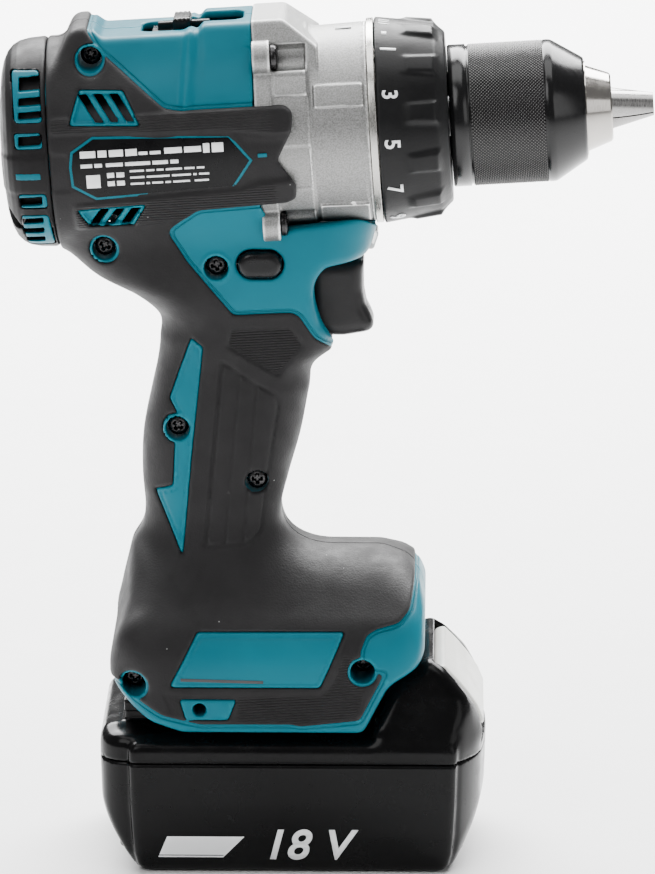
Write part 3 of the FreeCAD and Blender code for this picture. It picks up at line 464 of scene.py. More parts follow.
def spine_form(hx, y, hz):
    """Raised back with the speed selector; its rear end slopes down to the motor casing."""
    top = 32.4 + 2.2 * ramp(hx, -50.5, -47.5) + 2.4 * (ramp(hx, -92, -88) - ramp(hx, -81.5, -77.5))
    slope = (np.abs(y) - 21.7) * 0.8835 + (hz - 20.0) * 0.4685 - 0.5 * ramp(hx, -50.5, -47.5)
    rear = (hz - 36.0) * 0.447 - (hx + 86.3) * 0.894
    section = smooth_max(smooth_max(hz - top, slope, 2.2), rear, 2.5)
    return most(section, hx - FLANGE_X, -95.0 - hx, 17 - hz)


POCKET_MAP = SideMap(side_outline(POCKET, 3))


def base_form(x, y, z, front=FLANGE_X):
    """Teal moulding without its small features; front is where the motor casing ends."""
    hx, hz = to_head(x, z)
    head = smooth_min(barrel_form(hx, y, hz, front), spine_form(hx, y, hz), 2.5)
    crease = 0.9 * ramp(np.abs(hx + 53.0 + (hz - 23) * -0.12), 2.6, 0.0) * ramp(hz, 8, 14)
    head = head - crease * (hx > -60)
    grip = handle_form(x, y, z)
    neck_top = hz - (-27.4 + (hx + 25.5) * 0.066)
    grip = np.where(hx > FLANGE_X - 3, smooth_max(grip, neck_top - 50 * ramp(-hx, 30.5, 34.5), 1.6), grip)
    form = smooth_min(head, grip, 7)
    form = smooth_min(form, foot_form(x, y, z), 15)
    form = smooth_max(form, -POCKET_MAP(x, z), 3.5)
    case = np.hypot(y, hz) - (CASE_R + 0.7)
    return smooth_max(form, -most(case, FLANGE_X - hx), 0.8) if front == FLANGE_X else form


RUBBER_MAP = SideMap(side_outline(RUBBER_EDGE, 2))
INSERT_MAP = SideMap(side_outline(INSERT, 1))
PANEL_MAP = SideMap(side_outline(HOOK_PANEL, 1))
SPOT_MAP = SideMap(side_outline(HOOK_SPOT, 1))
LOWER_MAP = SideMap(side_outline(LOWER_PANEL, 1))
VENT_MAPS = [SideMap(side_outline(p, 1, head=True)) for p in (UPPER_VENT, LOWER_VENT)]
LABEL_MAP = SideMap(side_outline(LABEL, 1, head=True))


def pill_distance(x, z, half, r):
    return np.hypot(most(np.abs(x) - half, 0), z) - r


def boss_distance(x, z, r, plain_r):
    """Nearest screw boss seen from the side."""
    best = np.full(x.shape, 1e3, np.float32)
    for k, (bx, bz, _) in enumerate(BOSSES):
        best = least(best, np.hypot(x - bx, z - bz) - (plain_r if k == PLAIN_BOSS else r))
    return best


def boss_columns(x, y, z, r):
    """The bosses as columns across the tool, each cut at its length."""
    best = np.full(x.shape, 1e3, np.float32)
    for bx, bz, half in BOSSES:
        best = least(best, most(np.hypot(x - bx, z - bz) - r, np.abs(y) - half))
    return best


def vent_slots(hx, hz):
    """Slanted slots beside the motor: down to the front above, up to the front below."""
    best = np.full(hx.shape, 1e3, np.float32)
    for k in range(3):
        along, across = hx - (-82.4 + 4.6 * k) + (hz - 14) * 0.62, hz - 13.6
        upper = most(np.abs(along) - 1.35, np.abs(across) - 4.1)
        along, across = hx - (-81.6 + 4.7 * k) - (hz + 19) * 0.72, hz + 19.4
        lower = most(np.abs(along) - 1.35, np.abs(across) - 2.7)
        best = least(best, upper, lower)
    return best


def speed_slot(hx, y, hz, r):
    """Round-cornered opening over the speed selector."""
    return most(np.hypot(most(slab(hx, -51.6, 12.0), 0), most(np.abs(y) - 4.2, 0)) - r, 24 - hz)


RAIL_WAY = [(-62.5, 80, 27.4, 48.2, 53.0), (-62.5, 80, 23.4, 40.0, 48.4)]


def battery_way(x, y, z):
    """T-shaped way of the battery rails, open to the front."""
    best = np.full(x.shape, 1e3, np.float32)
    for x0, x1, half, z0, z1 in RAIL_WAY:
        best = least(best, most(x0 - x, x - x1, np.abs(y) - half, z0 - z, z - z1))
    return best


def groove(distance, at, width, depth):
    """Shallow round groove where the distance has the value at."""
    return depth * np.exp(-((distance - at) / width) ** 2)


def shell_form(x, y, z):
    """Teal housing half, hollow, with bosses, vents and ways."""
    hx, hz = to_head(x, z)
    base = base_form(x, y, z)
    rubber = RUBBER_MAP(x, z)
    side = ramp(np.abs(y), 6, 12)
    outer = base + 0.55 * ramp(-rubber, -0.1, 0.8)
    outer = outer + groove(rubber, 0.9, 0.35, 0.22) * side
    for vent in VENT_MAPS:
        inside = vent(x, z)
        outer = outer - 1.45 * ramp(-inside, -0.25, 0.25) * side
        outer = outer + 1.1 * ramp(-inside, 0.75, 1.15) * side
    for inlay, rise in ((INSERT_MAP, 0.95), (PANEL_MAP, 1.1), (SPOT_MAP, 1.0)):
        inside = inlay(x, z)
        outer = outer - (rise + 0.3) * ramp(-inside, -0.2, 0.3) * side
    panel = PANEL_MAP(x, z)
    outer = outer + groove(panel, -1.4, 0.3, 0.3) * side + groove(INSERT_MAP(x, z), -1.3, 0.3, 0.3) * side
    boss = boss_columns(x, y, z, BOSS_R)
    boss = most(boss, -(base + 4))
    outer = smooth_min(outer, boss, 0.9)
    form = smooth_max(outer, -(base + WALL), 0.3)
    form = least(form, boss_columns(x, y, z, BOSS_R))
    post = boss_distance(x, z, BOSS_R + 1.3, BOSS_R + 1.3)
    form = least(form, most(post, base + 1.2, 12 - np.abs(y)))
    form = least(form, most(np.hypot(x - HOOK_X, z - HOOK_Z) - 4.0, np.abs(y) - 38.8))
    form = smooth_max(form, -boss_distance(x, z, BOSS_HOLE_R, BOSS_HOLE_R), 0.3)
    form = smooth_max(form, -(np.hypot(x - HOOK_X, z - HOOK_Z) - 2.05), 0.5)
    slots = most(vent_slots(hx, hz), 14 - np.abs(y))
    form = smooth_max(form, -slots, 0.4)
    lever = pill_distance(x - LEVER_X, z - LEVER_Z, 2.6, 4.55)
    form = smooth_max(form, -most(lever, 8 - np.abs(y)), 0.9)
    form = smooth_max(form, -speed_slot(hx, y, hz, 3.2), 0.9)
    form = smooth_max(form, -battery_way(x, y, z), 0.5)
    form = most(form, FOOT_BOTTOM - z)
    stem = most(np.abs(y) - 9.0, slab(x, -3.3, 9.3), slab(z, 171.6, 13.2))
    form = most(form, -stem)
    form = most(form, -most(np.abs(y) - 5.4, LENS_MAP(x, z)))
    return most(form, 0.02 - y)


FOOT_BOTTOM = 45.5
LENS_MAP = SideMap(side_outline([(9.0, 187.0), (15.6, 186.4), (18.5, 194.2), (11.6, 194.6)]))
ARM_UPPER = [(-95.3, 12.3), (-20, 12.3), (-20, 4.0), (-28, 3.7), (-39.6, 5.3), (-95.3, 6.9)]
ARM_LOWER = [(-89.5, -14.4), (-40.5, -12.4), (-33.0, -10.6), (-20, -9.5), (-20, -20), (-89.5, -24)]
BOW_RECESS = [(-42.5, 5.6), (-33.5, 3.4), (-18, 3.2), (-18, -10.6), (-33, -11.0), (-43.0, -12.8),
              (-36.4, -3.6)]
ARM_MAPS = [SideMap(side_outline(p, 2, head=True)) for p in (ARM_UPPER, ARM_LOWER)]
BOW_MAP = SideMap(side_outline(BOW_RECESS, 3, head=True))
REAR_BAND = [(-96, 1.9), (-89.6, 1.3), (-88.6, -10.6), (-96, -10.4)]
REAR_MAP = SideMap(side_outline(REAR_BAND, 1, head=True))
TRIANGLE = [(-28.8, 166.2), (-10.6, 166.8), (-6.6, 161.2), (-14.4, 150.7), (-30.0, 160.3)]
TRIANGLE_MAP = SideMap(side_outline(TRIANGLE, 1))
GRIP_PANEL = [(-31.6, 155.9), (-22.6, 149.5), (-15.2, 145.3), (-14.4, 142.4), (-17.6, 122.0), (-19.9, 103.0),
              (-23.5, 99.6), (-36.8, 98.6)]
GRIP_MAP = SideMap(side_outline(GRIP_PANEL, 2))


def rubber_skin(x, y, z):
    """How far the rubber stands proud of the teal moulding."""
    side = ramp(np.abs(y), 8, 13)
    skin = np.full(x.shape, 0.95, np.float32)
    for arm in ARM_MAPS:
        skin = skin + 0.75 * ramp(-arm(x, z), -0.3, 1.1) * side
    skin = skin - 0.55 * ramp(-BOW_MAP(x, z), -0.4, 2.2) * side
    skin = skin - 0.45 * ramp(-REAR_MAP(x, z), -0.4, 0.9) * side
    skin = skin - 0.4 * ramp(-LABEL_MAP(x, z), -1.4, -0.5) * side
    skin = skin - 0.65 * ramp(-TRIANGLE_MAP(x, z), -0.5, 0.7) * side
    panel = GRIP_MAP(x, z)
    skin = skin - groove(panel, 0.0, 0.5, 0.6) * side
    inside = ramp(-panel, 0.0, 0.6) * side
    for k in range(3):
        line = x - (-30.8 + 5.4 * k) - (z - 155.4) * (0.0925 - 0.002 * k)
        skin = skin - inside * 0.75 * (np.clip((line + 5.0) / 5.0, 0, 1) * ramp(-line, -0.1, 0.35))
    skin = skin - 0.35 * ramp(-LOWER_MAP(x, z), -0.3, 0.7) * side
    return skin


def grip_form(x, y, z):
    """Rubber overmould of one half."""
    hx, hz = to_head(x, z)
    base = base_form(x, y, z, -10.0)
    edge = RUBBER_MAP(x, z)
    for window, room in ((INSERT_MAP, 0.05), (PANEL_MAP, 0.05), (SPOT_MAP, 0.05), (VENT_MAPS[0], 0.05),
                         (VENT_MAPS[1], 0.05)):
        edge = most(edge, -(window(x, z) - room))
    edge = most(edge, -boss_distance(x, z, BOSS_R + 0.1, 3.55))
    lever = pill_distance(x - LEVER_X, z - LEVER_Z, 2.6, 6.0)
    edge = most(edge, -lever)
    edge = most(edge, -speed_slot(hx, y, hz, 5.2))
    form = smooth_max(base - rubber_skin(x, y, z), edge, 1.0)
    form = most(form, -(base + 1.5))
    flange = most(np.hypot(y, hz) - (CASE_R - 1.3), FLANGE_X - hx)
    form = most(form, -flange)
    form = most(form, COVER_X + 0.2 - hx)
    form = most(form, -most(battery_way(x, y, z) - 1.0, np.abs(x) - 100))
    return most(form, 0.02 - y)


# ---- stage, light and camera ------------------------------------------------------------
def make_stage():
    mesh = bpy.data.meshes.new("floor")
    bm = bmesh.new()
    bmesh.ops.create_grid(bm, x_segments=2, y_segments=2, size=6.0)
    bm.to_mesh(mesh)
    bm.free()
    floor = bpy.data.objects.new("floor", mesh)
    bpy.context.scene.collection.objects.link(floor)
    material, tree, shader = new_material("floor_paper")
    noise = node(tree, "ShaderNodeTexNoise", {"Scale": 40.0, "Detail": 4.0})
    tree.links.new(position(tree), noise.inputs["Vector"])
    colour = mix(tree, noise.outputs["Fac"], (0.86, 0.86, 0.86), (0.90, 0.90, 0.90))
    tree.links.new(colour, shader.inputs["Base Color"])
    shader.inputs["Roughness"].default_value = 0.9
    floor.data.materials.append(material)
    world = bpy.data.worlds.new("studio")
    world.use_nodes = True
    background = world.node_tree.nodes["Background"]
    background.inputs["Color"].default_value = (1, 1, 1, 1)
    background.inputs["Strength"].default_value = 0.28
    bpy.context.scene.world = world


def area_light(name, place, target, size, power):
    light = bpy.data.lights.new(name, "AREA")
    light.shape = "RECTANGLE"
    light.size, light.size_y = size
    light.energy = power
    obj = linked(name, light)
    obj.location = place
    obj.rotation_euler = (Vector(target) - Vector(place)).to_track_quat("-Z", "Y").to_euler()


# focal length and height of the photo, both in its pixels
FOCAL_PIXELS, PHOTO_PIXELS = 6700, 874


def make_camera():
    target = Vector((SHIFT_X / 1000, 0, 0.1278))
    azimuth, height, distance = math.radians(1.0), math.radians(14.5), 2.033
    back = Vector((math.sin(azimuth) * math.cos(height), -math.cos(azimuth) * math.cos(height),
                   math.sin(height)))
    data = bpy.data.cameras.new("camera")
    data.sensor_width = 36
    data.lens = data.sensor_width * FOCAL_PIXELS / PHOTO_PIXELS
    data.clip_end = 50
    camera = linked("camera", data)
    camera.location = target + back * distance
    camera.rotation_euler = (-back).to_track_quat("-Z", "Y").to_euler()
    bpy.context.scene.camera = camera


# ---- materials --------------------------------------------------------------------------
def new_material(name):
    material = bpy.data.materials.new(name)
    material.use_nodes = True
    return material, material.node_tree, material.node_tree.nodes["Principled BSDF"]


def node(tree, kind, inputs=None, **settings):
    made = tree.nodes.new(kind)
    for key, value in settings.items():
        setattr(made, key, value)
    for key, value in (inputs or {}).items():
        if hasattr(value, "links"):
            tree.links.new(value, made.inputs[key])
        else:
            made.inputs[key].default_value = value
    return made


def position(tree):
    """Object-space place in metres."""
    return node(tree, "ShaderNodeTexCoord").outputs["Object"]


def math_node(tree, operation, a, b=0.0):
    made = tree.nodes.new("ShaderNodeMath")
    made.operation = operation
    for k, value in enumerate((a, b)):
        if hasattr(value, "links"):
            tree.links.new(value, made.inputs[k])
        else:
            made.inputs[k].default_value = value
    return made.outputs[0]


def span(tree, value, a, b, low=0.0, high=1.0):
    """Value mapped from a..b to low..high, clamped."""
    made = tree.nodes.new("ShaderNodeMapRange")
    made.interpolation_type = "SMOOTHSTEP"
    tree.links.new(value, made.inputs["Value"])
    for key, number in zip(("From Min", "From Max", "To Min", "To Max"), (a, b, low, high)):
        made.inputs[key].default_value = number
    return made.outputs["Result"]


def mix(tree, factor, a, b):
    made = tree.nodes.new("ShaderNodeMix")
    made.data_type = "RGBA"
    for socket, value in ((made.inputs["Factor"], factor), (made.inputs["A"], a), (made.inputs["B"], b)):
        if hasattr(value, "links"):
            tree.links.new(value, socket)
        elif isinstance(value, tuple):
            socket.default_value = (*value, 1.0)
        else:
            socket.default_value = value
    return made.outputs["Result"]


def attribute(tree, name):
    return node(tree, "ShaderNodeAttribute", attribute_name=name).outputs["Fac"]


def noise(tree, scale, detail=3.0, roughness=0.5, stretch=None):
    place = position(tree)
    if stretch:
        place = node(tree, "ShaderNodeMapping", {"Vector": place, "Scale": stretch}).outputs[0]
    return node(tree, "ShaderNodeTexNoise", {"Vector": place, "Scale": scale, "Detail": detail,
                                              "Roughness": roughness}).outputs["Fac"]


def cells(tree, scale):
    return node(tree, "ShaderNodeTexVoronoi", {"Vector": position(tree), "Scale": scale}).outputs["Distance"]


def bump(tree, shader, height, depth, strength=1.0):
    """Adds a bump of that depth, in metres, after any bump already there."""
    made = node(tree, "ShaderNodeBump", {"Height": height, "Distance": depth, "Strength": strength})
    old = shader.inputs["Normal"].links
    if old:
        tree.links.new(old[0].from_socket, made.inputs["Normal"])
    tree.links.new(made.outputs["Normal"], shader.inputs["Normal"])


def edge_highlight_hollow_shade(tree, light, dark, amount=0.08):
    """Painted highlight and shade: the light colour on outer edges, the dark one in hollows."""
    pointed = node(tree, "ShaderNodeNewGeometry").outputs["Pointiness"]
    edge = span(tree, pointed, 0.5, 0.5 + amount)
    return mix(tree, edge, dark, light)


def plastic(name, colour, tone=0.06, roughness=0.45, grain=2600.0, depth=0.00002, coat=0.0, specular=0.5):
    """Moulded plastic: eroded grain, faint tone drift, handling marks in the gloss."""
    material, tree, shader = new_material(name)
    drift = noise(tree, 22.0, 4.0)
    dark = tuple(c * (1 - tone) for c in colour)
    light = tuple(min(1.0, c * (1 + tone) + 0.001) for c in colour)
    base = mix(tree, span(tree, drift, 0.35, 0.65), dark, light)
    # painted highlight: the plastic is made lighter on its outer edges, found by pointiness
    edge_highlight = edge_highlight_hollow_shade(tree, tuple(min(1.0, c * 1.25 + 0.008) for c in colour), colour, 0.05)
    pointed = span(tree, node(tree, "ShaderNodeNewGeometry").outputs["Pointiness"], 0.52, 0.62, 0.0, 0.5)
    tree.links.new(mix(tree, pointed, base, edge_highlight), shader.inputs["Base Color"])
    marks = noise(tree, 160.0, 6.0, 0.6)
    rough = span(tree, marks, 0.3, 0.75, roughness - 0.07, roughness + 0.09)
    tree.links.new(rough, shader.inputs["Roughness"])
    shader.inputs["Specular IOR Level"].default_value = specular
    shader.inputs["Coat Weight"].default_value = coat
    shader.inputs["Coat Roughness"].default_value = 0.12
    bump(tree, shader, cells(tree, grain), depth, 0.6)
    return material


def metal(name, colour, roughness=0.3, grain=3000.0, depth=0.00001, turned=False, tone=0.08):
    """Metal with blasted or turned grain and stains."""
    material, tree, shader = new_material(name)
    stretch = (8.0, 0.4, 0.4) if turned else None
    drift = noise(tree, 60.0, 5.0, 0.6)
    dark = tuple(c * (1 - tone) for c in colour)
    light = tuple(min(1.0, c * (1 + tone)) for c in colour)
    tree.links.new(mix(tree, span(tree, drift, 0.3, 0.7), dark, light), shader.inputs["Base Color"])
    shader.inputs["Metallic"].default_value = 1.0
    fine = noise(tree, 900.0 if turned else grain, 3.0, 0.6, stretch)
    tree.links.new(span(tree, fine, 0.3, 0.7, roughness - 0.06, roughness + 0.1), shader.inputs["Roughness"])
    bump(tree, shader, fine, depth, 0.5)
    return material


def cast_material():
    """Bead-blasted casting: fine mottled grain, painted highlight on the edges."""
    material, tree, shader = new_material("cast_aluminium")
    grain = noise(tree, 2300.0, 2.0, 0.6)
    base = mix(tree, span(tree, grain, 0.34, 0.66), (0.20, 0.20, 0.196), (0.33, 0.33, 0.325))
    stain = noise(tree, 70.0, 5.0, 0.6)
    base = mix(tree, span(tree, stain, 0.55, 0.8, 0.0, 0.25), base, (0.24, 0.235, 0.225))
    # painted highlight: near-white colour on convex edges, found by pointiness
    pointed = span(tree, node(tree, "ShaderNodeNewGeometry").outputs["Pointiness"], 0.515, 0.58)
    base = mix(tree, pointed, base, (0.92, 0.92, 0.91))
    tree.links.new(base, shader.inputs["Base Color"])
    shader.inputs["Metallic"].default_value = 0.85
    tree.links.new(span(tree, grain, 0.3, 0.7, 0.38, 0.56), shader.inputs["Roughness"])
    bump(tree, shader, grain, 0.00007, 0.7)
    return material


def teal_material():
    material, tree, shader = new_material("teal_shell")
    edge = attribute(tree, "edge")
    drift = noise(tree, 30.0, 4.0)
    base = mix(tree, span(tree, drift, 0.3, 0.7), (0.0, 0.108, 0.150), (0.0, 0.124, 0.170))
    # painted highlight: lighter teal on convex edges, found by pointiness
    pointed = span(tree, node(tree, "ShaderNodeNewGeometry").outputs["Pointiness"], 0.51, 0.6, 0.0, 0.55)
    base = mix(tree, pointed, base, (0.005, 0.20, 0.25))
    # painted shade: darker teal along the groove that runs beside the rubber edge
    line = math_node(tree, "ABSOLUTE", math_node(tree, "SUBTRACT", edge, 0.95))
    base = mix(tree, span(tree, line, 0.1, 0.3, 0.4, 0.0), base, (0.0, 0.05, 0.065))
    tree.links.new(base, shader.inputs["Base Color"])
    tree.links.new(span(tree, noise(tree, 140.0, 6.0, 0.6), 0.3, 0.75, 0.36, 0.5), shader.inputs["Roughness"])
    shader.inputs["Specular IOR Level"].default_value = 0.12
    bump(tree, shader, cells(tree, 2400.0), 0.00002, 0.5)
    bump(tree, shader, span(tree, line, 0.1, 0.4, 0.0, 1.0), 0.0003, 0.8)
    return material


RIB_PITCH = 0.00082      # metres


def rubber_material():
    """Soft black overmould: stipple, fine ribs where the mesh says so, dust specks."""
    material, tree, shader = new_material("grip_rubber")
    ribs = attribute(tree, "ribs")
    drift = noise(tree, 26.0, 5.0, 0.55)
    base = mix(tree, span(tree, drift, 0.3, 0.7), (0.0092, 0.0088, 0.0092), (0.0135, 0.0128, 0.0135))
    # painted highlight: lighter rubber on convex edges, found by pointiness
    pointed = span(tree, node(tree, "ShaderNodeNewGeometry").outputs["Pointiness"], 0.51, 0.6, 0.0, 0.45)
    base = mix(tree, pointed, base, (0.045, 0.044, 0.045))
    specks = node(tree, "ShaderNodeTexVoronoi", {"Vector": position(tree), "Scale": 190.0, "Randomness": 1.0})
    keep = math_node(tree, "GREATER_THAN", node(tree, "ShaderNodeSeparateColor",
                     {"Color": specks.outputs["Color"]}).outputs[0], 0.86)
    speck = math_node(tree, "MULTIPLY", span(tree, specks.outputs["Distance"], 0.03, 0.05, 1.0, 0.0), keep)
    base = mix(tree, math_node(tree, "MULTIPLY", speck, 0.55), base, (0.4, 0.4, 0.4))
    tree.links.new(base, shader.inputs["Base Color"])
    tree.links.new(span(tree, noise(tree, 120.0, 5.0, 0.6), 0.3, 0.7, 0.5, 0.66), shader.inputs["Roughness"])
    shader.inputs["Specular IOR Level"].default_value = 0.16
    shader.inputs["Sheen Weight"].default_value = 0.03
    shader.inputs["Sheen Roughness"].default_value = 0.5
    bump(tree, shader, cells(tree, 1500.0), 0.00006, 0.7)
    up = Vector((-SIN, 0, COS))
    height = node(tree, "ShaderNodeVectorMath", {0: position(tree), 1: tuple(up)}, operation="DOT_PRODUCT")
    phase = math_node(tree, "MULTIPLY", height.outputs["Value"], 2 * math.pi / RIB_PITCH)
    wave = math_node(tree, "SINE", phase)
    bump(tree, shader, math_node(tree, "MULTIPLY", wave, ribs), 0.00016, 1.0)
    return material


def set_attribute(obj, name, values):
    data = obj.data.attributes.new(name, "FLOAT", "POINT")
    data.data.foreach_set("value", np.asarray(values, np.float32))


# ---- housing and overmould --------------------------------------------------------------
def housing_pieces():
    low, high = (-85.0, -0.8, 44.0), (31.5, 41.5, 264.0)
    points, faces = thinned(*net_surface(shell_form, low, high, STEP * 1.1), 0.6)
    x, z = points[:, 0].astype(np.float32), points[:, 2].astype(np.float32)
    edge = RUBBER_MAP(x, z)
    for name, mirror in (("housing_right", True), ("housing_left", False)):
        shell = new_object("shell_" + name[8:], points, faces, BODY_MATRIX, mirror)
        set_attribute(shell, "edge", edge)
        dress(shell, MATERIAL["teal"], "housing", "teal_shell", name)


def grip_pieces():
    low, high = (-86.0, -0.8, 44.0), (31.0, 42.5, 264.0)
    points, faces = net_surface(grip_form, low, high, STEP * 1.07)
    x, y, z = points.T.astype(np.float32)
    hx, hz = to_head(x, z)
    ribs = np.zeros(len(x), np.float32)
    for arm in ARM_MAPS:
        ribs = most(ribs, ramp(-arm(x, z), 0.8, 1.6))
    ribs = ribs * ramp(-hx, 27.5, 31.0)
    triangle = ramp(-TRIANGLE_MAP(x, z), 0.4, 1.4)
    lower = ramp(-LOWER_MAP(x, z), 0.9, 1.8) * ramp(x, -27, -25)
    ribs = most(ribs, triangle, lower) * ramp(y, 6, 12)
    for name, mirror in (("grip_right", True), ("grip_left", False)):
        skin = new_object("rubber_" + name[5:], points, faces, BODY_MATRIX, mirror)
        set_attribute(skin, "ribs", ribs)
        dress(skin, MATERIAL["rubber"], "housing", "grip_rubber", name)


# ---- turned and prismatic pieces ----------------------------------------------------------
def smooth_mesh(name, bm, matrix):
    """Object from a bmesh in mm, placed by the matrix, shaded smooth."""
    bmesh.ops.recalc_face_normals(bm, faces=bm.faces)
    mesh = bpy.data.meshes.new(name)
    bm.transform(matrix)
    bm.to_mesh(mesh)
    bm.free()
    mesh.polygons.foreach_set("use_smooth", np.ones(len(mesh.polygons), bool))
    return linked(name, mesh)


def turned(name, profile, matrix=HEAD_MATRIX, count=128, bevel=0.25):
    """Closed ring from (x, radius) corners about the head axis."""
    bm = bmesh.new()
    angles = [2 * math.pi * k / count for k in range(count)]
    rings = [[bm.verts.new((x, r * math.cos(a), r * math.sin(a))) for a in angles] for x, r in profile]
    for a, b in zip(rings, rings[1:] + rings[:1]):
        for k in range(count):
            bm.faces.new((a[k], a[(k + 1) % count], b[(k + 1) % count], b[k]))
    return crisp(smooth_mesh(name, bm, matrix), bevel, 3, 12)


def prism(name, outline, y0, y1, matrix=BODY_MATRIX, bevel=0.5, segments=3, angle=30):
    """Prism across the tool from an (x, z) outline, edges rounded."""
    bm = bmesh.new()
    near = [bm.verts.new((x, y0, z)) for x, z in outline]
    far = [bm.verts.new((x, y1, z)) for x, z in outline]
    bm.faces.new(near)
    bm.faces.new(far[::-1])
    for k in range(len(near)):
        n = (k + 1) % len(near)
        bm.faces.new((near[k], far[k], far[n], near[n]))
    return crisp(smooth_mesh(name, bm, matrix), bevel, segments, angle)


def joined(name, objects):
    """One object from several, their modifiers applied."""
    graph = bpy.context.evaluated_depsgraph_get()
    bm = bmesh.new()
    for obj in objects:
        mesh = taken(obj, graph)
        bm.from_mesh(mesh)
        bpy.data.meshes.remove(mesh)
    mesh = bpy.data.meshes.new(name)
    bm.to_mesh(mesh)
    bm.free()
    mesh.polygons.foreach_set("use_smooth", np.ones(len(mesh.polygons), bool))
    return crisp(linked(name, mesh))


def on_surface(name, outline, height, lift, depth, cell=2.0, matrix=BODY_MATRIX, side=-1, bevel=0.12):
    """Thin plate lying on a curved side: height(x, z) is the surface, lift how far the plate rises."""
    bm = bmesh.new()
    bm.faces.new([bm.verts.new((x, 0, z)) for x, z in outline])
    spread = np.array(outline)
    for axis, normal in ((0, (1, 0, 0)), (1, (0, 0, 1))):
        for cut in np.arange(spread[:, axis].min() + cell, spread[:, axis].max(), cell):
            place = (cut, 0, 0) if axis == 0 else (0, 0, cut)
            bmesh.ops.bisect_plane(bm, geom=bm.verts[:] + bm.edges[:] + bm.faces[:], plane_co=place,
                                   plane_no=normal)
    low = bmesh.ops.duplicate(bm, geom=bm.faces[:])
    faces = [f for f in low["geom"] if isinstance(f, bmesh.types.BMFace)]
    under = {v for f in faces for v in f.verts}
    rim = [e for e in bm.edges if e.is_boundary and e.verts[0] not in under]
    twin = low["vert_map"]
    for edge in rim:
        a, b = edge.verts
        bm.faces.new((a, b, twin[b], twin[a]))
    for vert in bm.verts:
        out = height(vert.co.x, vert.co.z) + (-depth if vert in under else lift)
        vert.co.y = side * out
    return crisp(smooth_mesh(name, bm, matrix), bevel, 2, 40)


def screw(radius, thickness, slot_depth=1.2):
    """Pan head with a cross recess, its axis along +Z and its top at 0."""
    def form(x, y, z):
        r = np.hypot(x, y)
        dome = np.sqrt(x * x + y * y + (z + 3.2 * radius) ** 2) - 3.2 * radius
        head = smooth_max(smooth_max(dome, r - radius, 0.9), -thickness - z, 0.4)
        arm = least(np.abs(x), np.abs(y))
        span_arm = most(np.abs(x), np.abs(y))
        reach = 1.9 * (0.5 + 0.5 * (z / slot_depth + 1))
        recess = most(arm - 0.4 - 0.12 * (z + slot_depth), span_arm - reach)
        recess = most(recess * 0.9, -slot_depth - z)
        return smooth_max(head, -recess, 0.15)
    size = radius + 0.4
    return net_surface(form, (-size, -size, -thickness - 0.5), (size, size, 0.5), 0.2)


def placed_screws(name, shape, frames, body, *nodes):
    """Copies of one screw head, joined: frames are 4x4 matrices in metres."""
    points, faces = shape
    all_points, all_faces = [], []
    for k, m in enumerate(frames):
        m = np.array(m)
        all_points.append(points @ m[:3, :3].T + m[:3, 3])
        all_faces.append(faces + k * len(points))
    obj = new_object(name, np.concatenate(all_points), np.concatenate(all_faces), Matrix.Identity(4))
    return dress(obj, MATERIAL["screw"], body, "screw_black", *nodes)


def head_frame(x, y, z, turn, spin):
    """Screw frame in the head: its axis along the head's, turned and spun by the angles."""
    return (HEAD_MATRIX @ Matrix.Translation((x, y, z)) @ Matrix.Rotation(math.radians(turn), 4, "Y")
            @ Matrix.Rotation(spin, 4, "Z"))


# ---- head pieces ---------------------------------------------------------------------------
CASE_SCREWS = [(20.3, 24.8), (19.3, -25.7)]       # |y|, z in the head frame
CASE_SCREW_R = 4.35
RING_PROFILE = ([-17, -0.5, 2.0, 2.8, 10, 20], [29.45, 29.85, 30.9, 30.9, 29.9, 28.25])
CASE_PROFILE = ([-34, -28.6, -28.3, -17.9, -17.1, 0.5], [30.9, 30.9, 30.15, 30.15, 29.3, 29.85])


def strip(value, low, high, edge=0.14):
    """1 inside the range, 0 outside."""
    return ramp(value, low - edge, low + edge) * ramp(-value, -high - edge, -high + edge)


def gear_case_form(x, y, z):
    side = np.abs(y)
    r = np.hypot(y, z)
    radius = np.interp(x, *CASE_PROFILE)
    front = strip(x, -16.2, -1.5)
    radius = radius + 0.75 * strip(z, 10.4, 16.7) * front * (side > 15)
    radius = radius + 0.8 * strip(z, -27.5, -20.5, 0.3) * front * (side > 8)
    radius = radius - 0.3 * strip(x, -1.45, -1.0, 0.1)
    middle = strip(x, -28.2, -18.2)
    radius = radius - 0.55 * strip(z, -13.6, -0.6) * middle * (side > 15)
    radius = radius + 0.7 * strip(z, 14.2, 21.5) * middle * (side > 15)
    radius = radius + 0.4 * strip(z, 20.0, 23, 0.4) * middle
    body = r - radius
    ears = np.full(x.shape, 1e3, np.float32)
    for ey, ez in CASE_SCREWS:
        at = np.hypot(side - ey, z - ez)
        ears = least(ears, most(at - 5.2, x + 28.5))
        body = smooth_max(body, -most(at - CASE_SCREW_R, -28.4 - x, x + 18.2), 0.6)
    body = smooth_min(body, ears, 1.2)
    flank = (side - 19.7) * 0.9 + (z - 24) * 0.436
    top = smooth_max(z - 35.0, (x + 24.2) * 0.63 + (z - 35) * 0.776, 0.8)
    top = most(smooth_max(flank, top, 1.2), 18 - z)
    for ey, ez in CASE_SCREWS[:1]:
        at = np.hypot(side - ey, z - ez)
        top = smooth_max(top, -most(at - CASE_SCREW_R, -28.4 - x, x + 18.2), 0.6)
    body = smooth_min(body, most(top, x + 14.5), 0.7)
    body = smooth_max(body, FLANGE_X + 0.15 - x, 0.5)
    body = smooth_max(body, x + 0.12, 0.4)
    return most(body, 27.0 - r)


